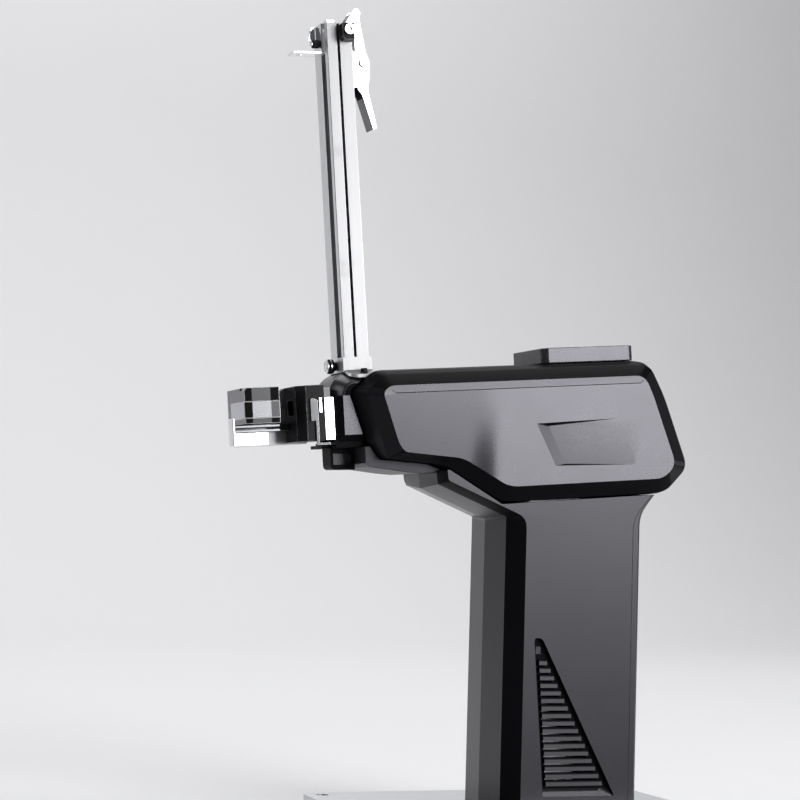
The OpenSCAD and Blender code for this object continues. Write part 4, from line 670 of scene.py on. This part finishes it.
class CLIPPER_OT_mast(PieceMaker, bpy.types.Operator):
    """Mast with its foot, cap, stop block and screws"""

    bl_idname = "clipper.mast"
    bl_label = "Mast"

    # Metres for the groove, and millimetres of the head
    GROOVE = 0.0116, 0.0139
    CLAMP_AT, SCREW_AT = (-96.7, 0, 100.3), (-83.4, 20, 94.44)

    def make(self, look):
        dressed(["mast_cap", "stop_block"], look.metal_edge, look)
        dressed(["mast_foot"], look.metal_edge, look, other=self.in_groove)
        dressed(["mast_channel"], look.metal_edge, look, other=self.in_groove)
        dressed(["stop_screw"], look.fine_edge, look)
        (x, y, z), r = self.SCREW_AT, 1.3
        screw = [(0, -1.2), (r, -1.2), (r, 0), (2 * r, 0), (2 * r, 0.6), (1.9 * r, 0.7), (1.75 * r, 0.7),
                 (1.75 * r, 2.6), (1.55 * r, 2.95), (1.05 * r, 3), (0.95 * r, 2.9), (0.9 * r, 1.3), (0, 1.1)]
        screws = [turned(screw, look.turn_steps, pointing((x, s * y, z), (0, 0, 1))) for s in (-1, 1)]
        piece(gathered(screws), "flange_screws.turned", "black_steel", "machine", ["flange_screws"], look)
        r, place = 5, pointing(self.CLAMP_AT, (-1, 0, 0))
        grip = [(0, -1.5), (1.5, -1.5), (1.5, 0), (3, 0), (3, 2), (r - 0.7, 2), (r - 0.1, 2.5), (r, 2.9),
                (r, 5.7), (r - 0.2, 6.2), (r - 0.7, 6.5), (0, 6.5)]
        piece(turned(grip, 144, place, 24, (2.3, 6.3), 0.07), "clamp_knob.grip", "black_steel",
              "mast_clamp", ["clamp_knob"], look)
        ring = [(0, 6.3), (r - 0.5, 6.3), (r - 0.2, 6.5), (r - 0.2, 6.8), (r - 0.5, 7), (r - 1.2, 7),
                (r - 1.4, 6.75), (2.1, 6.7), (1.9, 6.95), (1.2, 7), (0, 7)]
        band = [(r - 0.6, 3.9), (r, 3.9), (r, 4.5), (r - 0.6, 4.5), (r - 0.6, 3.9)]
        rings = [turned(shape, look.turn_steps, place) for shape in (ring, band)]
        piece(gathered(rings), "clamp_knob.rings", "polished_steel", "mast_clamp", [], look)

    def in_groove(self, face):
        """The grooves get a black painted shade, and the faces towards the front a painted highlight."""
        if self.GROOVE[0] < abs(face.calc_center_median().y) < self.GROOVE[1]:
            return "groove_dark"
        return "mast_front" if face.normal.x < -0.7 else None


class CLIPPER_OT_follower(PieceMaker, bpy.types.Operator):
    """Follower that presses the clips down, with its thumb screw"""

    bl_idname = "clipper.follower"
    bl_label = "Follower"

    # Millimetres of the head
    SCREW_AT = -97.1, -3.5, 322.61

    def make(self, look):
        dressed(["follower_slider", "follower_bracket"], look.metal_edge, look)
        r, place = 2.9, pointing(self.SCREW_AT, (-1, 0, 0))
        grip = [(0, -7.9), (1.25, -7.9), (1.25, 0), (r - 0.6, 0), (r - 0.1, 0.4), (r, 0.8), (r, 5),
                (r - 0.2, 5.5), (r - 0.6, 5.8), (0, 5.8)]
        piece(turned(grip, 120, place, 20, (0.3, 5.6), 0.08), "follower_knob.grip", "black_steel",
              "follower_screw", ["follower_knob"], look)
        ring = [(0, 5.6), (r - 0.7, 5.6), (r - 0.6, 6.2), (r - 0.8, 6.5), (r - 1.3, 6.5), (r - 1.5, 6.2),
                (0, 6.1)]
        piece(turned(ring, look.turn_steps, place), "follower_knob.ring", "polished_steel",
              "follower_screw", [], look)


class CLIPPER_OT_latch(PieceMaker, bpy.types.Operator):
    """Latch at the top of the mast"""

    bl_idname = "clipper.latch"
    bl_label = "Latch"

    # Millimetres of the head
    HANDLE_TOP = 296

    def make(self, look):
        dressed(["latch_bracket", "latch_pivot", "latch_lever"], look.metal_edge, look, other=self.shaded)

    def shaded(self, face):
        """The rounded edges get a black painted shade, and the front of the lever's handle a painted half
        shade.
        """
        if face.normal.x < -0.5 and in_head(face.calc_center_median()).z < self.HANDLE_TOP:
            return "anvil_side"
        return "groove_dark" if 0.2 < abs(face.normal.y) < 0.95 else None


class CLIPPER_OT_jaws(PieceMaker, bpy.types.Operator):
    """Jaw block, rails, cover, frame, trigger and screws"""

    bl_idname = "clipper.jaws"
    bl_label = "Jaws"

    # Millimetres of the head
    RAIL_GAP, RAIL_ENDS, LUGS_LOW = (-115.3, -113.5), -112, 79

    def make(self, look):
        dressed(["jaw_block", "jaw_frame"], look.metal_edge, look)
        dressed(["jaw_rails"], look.metal_edge, look, other=self.short_rail,
                shaped=lambda bm: cut_across(bm, self.RAIL_GAP[:1], (1, 0, 0)))
        # The jaw cover wears a painted shade
        dressed(["jaw_cover"], look.fine_edge, look, other=lambda face: "rail_satin")
        dressed(["jaw_screws", "trigger_lever", "trigger_pin"], look.fine_edge, look)

    def short_rail(self, face):
        """The gap beside the short rail and the rails' ends get a black painted shade, and the lugs over them
        a painted shade darker than the rails.
        """
        spot = in_head(face.calc_center_median())
        end = spot.x < self.RAIL_ENDS and face.normal.x < -0.7 and spot.z < self.LUGS_LOW
        if end or self.RAIL_GAP[0] < spot.x < self.RAIL_GAP[1]:
            return "groove_dark"
        return "rail_satin" if spot.z > self.LUGS_LOW else None


class CLIPPER_OT_anvil(PieceMaker, bpy.types.Operator):
    """Anvil with the guide plates and bracket under it"""

    bl_idname = "clipper.anvil"
    bl_label = "Anvil"

    # Millimetres of the head
    SIDE, BAND = (-163.8, -150.8), (66.8, 77.8)
    GUIDE_CORNER, GUIDE_SLANT = (-178, -10, 0), (-25, 13, 0)

    def make(self, look):
        dressed(["anvil_block"], look.metal_edge, look, shaped=self.marked_out, other=self.painted_reflections)
        dressed(["lower_bracket"], look.metal_edge, look)
        dressed(["guide_plates"], look.fine_edge, look,
                shaped=lambda bm: trimmed(bm, self.GUIDE_CORNER, self.GUIDE_SLANT))

    def marked_out(self, bm):
        """Cuts the anvil where its painted reflections and shades meet."""
        cut_across(bm, self.SIDE, (1, 0, 0))
        cut_across(bm, self.BAND, (0, 0, 1))

    def painted_reflections(self, face):
        """The band across the anvil and its front corners are painted bright as a highlight, and its sides
        are painted darker as shade, darkest at their ends."""
        spot = in_head(face.calc_center_median())
        band = self.BAND[0] < spot.z < self.BAND[1]
        if face.normal.x < -0.3 and abs(face.normal.y) > 0.3:
            return "anvil_band"
        if abs(face.normal.y) > 0.7:
            if spot.x < self.SIDE[0] or spot.x > self.SIDE[1] and not band:
                return "anvil_dark"
            return "anvil_side" if band and spot.x < self.SIDE[1] else "anvil_shade"
        return "anvil_band" if band and face.normal.x < -0.7 else None


class CLIPPER_OT_drive(PieceMaker, bpy.types.Operator):
    """Frame plates, punch, gears and motor inside the head"""

    bl_idname = "clipper.drive"
    bl_label = "Drive"

    def make(self, look):
        dressed(["frame_plate_left", "frame_plate_right", "punch_bar", "punch_tip"], look.fine_edge, look)
        painted(["frame_spacers", "drive_shaft", "rack_pinion", "drive_gear", "shaft_bearings", "drive_motor",
                 "motor_pinion"], look)


class CLIPPER_OT_power(PieceMaker, bpy.types.Operator):
    """Post, supply, board, mains inlet, switch and casing screws"""

    bl_idname = "clipper.power"
    bl_label = "Post and power"

    def make(self, look):
        dressed(["power_inlet", "switch_bezel", "switch_rocker"], look.metal_edge, look)
        dressed(["inlet_pins", "casing_screws"], look.fine_edge, look)
        painted(["support_post", "post_bolts", "power_supply", "control_board"], look)


class CLIPPER_OT_stage(bpy.types.Operator):
    """Floor, backdrop, lights and camera"""

    bl_idname = "clipper.stage"
    bl_label = "Stage"

    # Metres and degrees
    FLOOR_HALF, FLOOR_BACK, SWEEP, WALL = 14, 2.2, 1.2, 3
    CAMERA_AT, CAMERA_TURN = (-0.5563, -1.3646, 0.2026), (20.31, -3.645, 1.5535)

    def points(self, made):
        """The points among what an extrusion made."""
        return [v for v in made["geom"] if isinstance(v, bmesh.types.BMVert)]

    def lamp(self, name, place, aim, size, power):
        """A soft rectangular light that the camera doesn't see."""
        data = bpy.data.lights.new(name, "AREA")
        data.shape = "RECTANGLE"
        data.size, data.size_y = size
        data.energy = power
        lamp = bpy.data.objects.new(name, data)
        lamp.matrix_world = Matrix.Translation(place) @ (Vector(aim) - Vector(place)).to_track_quat(
            "-Z", "Y").to_matrix().to_4x4()
        lamp.visible_camera = False
        bpy.context.scene.collection.objects.link(lamp)

    def execute(self, context):
        stage, scene = context.scene.clipper_stage, context.scene
        bm = bmesh.new()
        near = [bm.verts.new((-self.FLOOR_HALF, y, 0)) for y in (-self.FLOOR_HALF, self.FLOOR_BACK)]
        floor_edge = bm.edges.new(near)
        swept = bmesh.ops.extrude_edge_only(bm, edges=[floor_edge])
        bmesh.ops.translate(bm, vec=(2 * self.FLOOR_HALF, 0, 0), verts=self.points(swept))
        bm.edges.ensure_lookup_table()
        back = [e for e in bm.edges if all(abs(v.co.y - self.FLOOR_BACK) < 1e-6 for v in e.verts)]
        bmesh.ops.spin(bm, geom=back + [v for e in back for v in e.verts], axis=(1, 0, 0), angle=math.pi / 2,
                       cent=(0, self.FLOOR_BACK, self.SWEEP), steps=16)
        top = [e for e in bm.edges
               if e.is_boundary and all(abs(v.co.z - self.SWEEP) < 1e-4 for v in e.verts)]
        risen = bmesh.ops.extrude_edge_only(bm, edges=top)
        bmesh.ops.translate(bm, vec=(0, 0, self.WALL), verts=self.points(risen))
        mesh = bpy.data.meshes.new("floor")
        bm.to_mesh(mesh)
        bm.free()
        mesh.shade_smooth()
        f = Finish("floor_paint")
        cloud = f.noise(f.place(), 3, 3)
        mesh.materials.append(f.surface({
            "Base Color": f.mix(cloud, shade(stage.floor_colour, 0.99), shade(stage.floor_colour, 1.01)),
            "Roughness": 0.9, "Specular IOR Level": 0.1}))
        floor = bpy.data.objects.new("floor", mesh)
        scene.collection.objects.link(floor)
        world = bpy.data.worlds.new("room")
        world.use_nodes = True
        world.node_tree.nodes["Background"].inputs["Color"].default_value = shade(stage.room_colour, 1)
        scene.world = world
        self.lamp("key_light", (0.87, -1.62, 0.66), (0.05, 0, 0.55), (1.1, 0.96), stage.key_power)
        self.lamp("fill_light", (-1.7, 0.1, 0.9), (0, 0, 0.25), (1.2, 1.2), stage.fill_power)
        self.lamp("top_light", (0.2, 1.5, 2.9), (0.2, 1.3, 0), (3.2, 3.2), stage.top_power)
        self.lamp("side_card", (2.2, -0.75, 0.82), (0.05, 0, 0.3), (0.8, 0.7), stage.card_power)
        self.lamp("high_card", (1.15, -1.15, 2.4), (0.05, 0, 0.1), (0.7, 0.7), stage.card_power)
        yaw, pitch, roll = (math.radians(a) for a in self.CAMERA_TURN)
        ahead = Vector((math.sin(yaw) * math.cos(pitch), math.cos(yaw) * math.cos(pitch), -math.sin(pitch)))
        right = Vector((math.cos(yaw), -math.sin(yaw), 0))
        up = right.cross(ahead)
        side = right * math.cos(roll) + up * math.sin(roll)
        tall = up * math.cos(roll) - right * math.sin(roll)
        data = bpy.data.cameras.new("camera")
        data.sensor_fit, data.sensor_width, data.lens = "HORIZONTAL", 36, stage.lens
        data.clip_start, data.clip_end = 0.05, 50
        camera = bpy.data.objects.new("camera", data)
        turn = Matrix((side, tall, -ahead)).transposed().to_4x4()
        camera.matrix_world = Matrix.Translation(self.CAMERA_AT) @ turn
        scene.collection.objects.link(camera)
        scene.camera = camera
        scene.view_settings.view_transform = "Standard"
        return {"FINISHED"}


OPERATORS = (CLIPPER_OT_stage, CLIPPER_OT_base, CLIPPER_OT_column, CLIPPER_OT_head, CLIPPER_OT_nose,
             CLIPPER_OT_pod, CLIPPER_OT_mast, CLIPPER_OT_follower, CLIPPER_OT_latch, CLIPPER_OT_jaws,
             CLIPPER_OT_anvil, CLIPPER_OT_drive, CLIPPER_OT_power)


class CLIPPER_PT_panel(bpy.types.Panel):
    """Lists the looks and the operators that make the pieces"""

    bl_idname = "CLIPPER_PT_panel"
    bl_label = "Bag clipping machine"
    bl_space_type = "VIEW_3D"
    bl_region_type = "UI"
    bl_category = "Clipper"

    def draw(self, context):
        for group in (context.scene.clipper_look, context.scene.clipper_stage):
            for name in group.bl_rna.properties.keys():
                if name not in {"rna_type", "name"}:
                    self.layout.prop(group, name)
        for operator in OPERATORS:
            self.layout.operator(operator.bl_idname)


CLASSES = (ClipperLook, ClipperStage, *OPERATORS, CLIPPER_PT_panel)


def register():
    for kind in CLASSES:
        bpy.utils.register_class(kind)
    bpy.types.Scene.clipper_look = PointerProperty(type=ClipperLook)
    bpy.types.Scene.clipper_stage = PointerProperty(type=ClipperStage)


def unregister():
    del bpy.types.Scene.clipper_stage
    del bpy.types.Scene.clipper_look
    for kind in reversed(CLASSES):
        bpy.utils.unregister_class(kind)


def main():
    register()
    for operator in OPERATORS:
        group, name = operator.bl_idname.split(".")
        getattr(getattr(bpy.ops, group), name)()


if __name__ == "__main__":
    main()
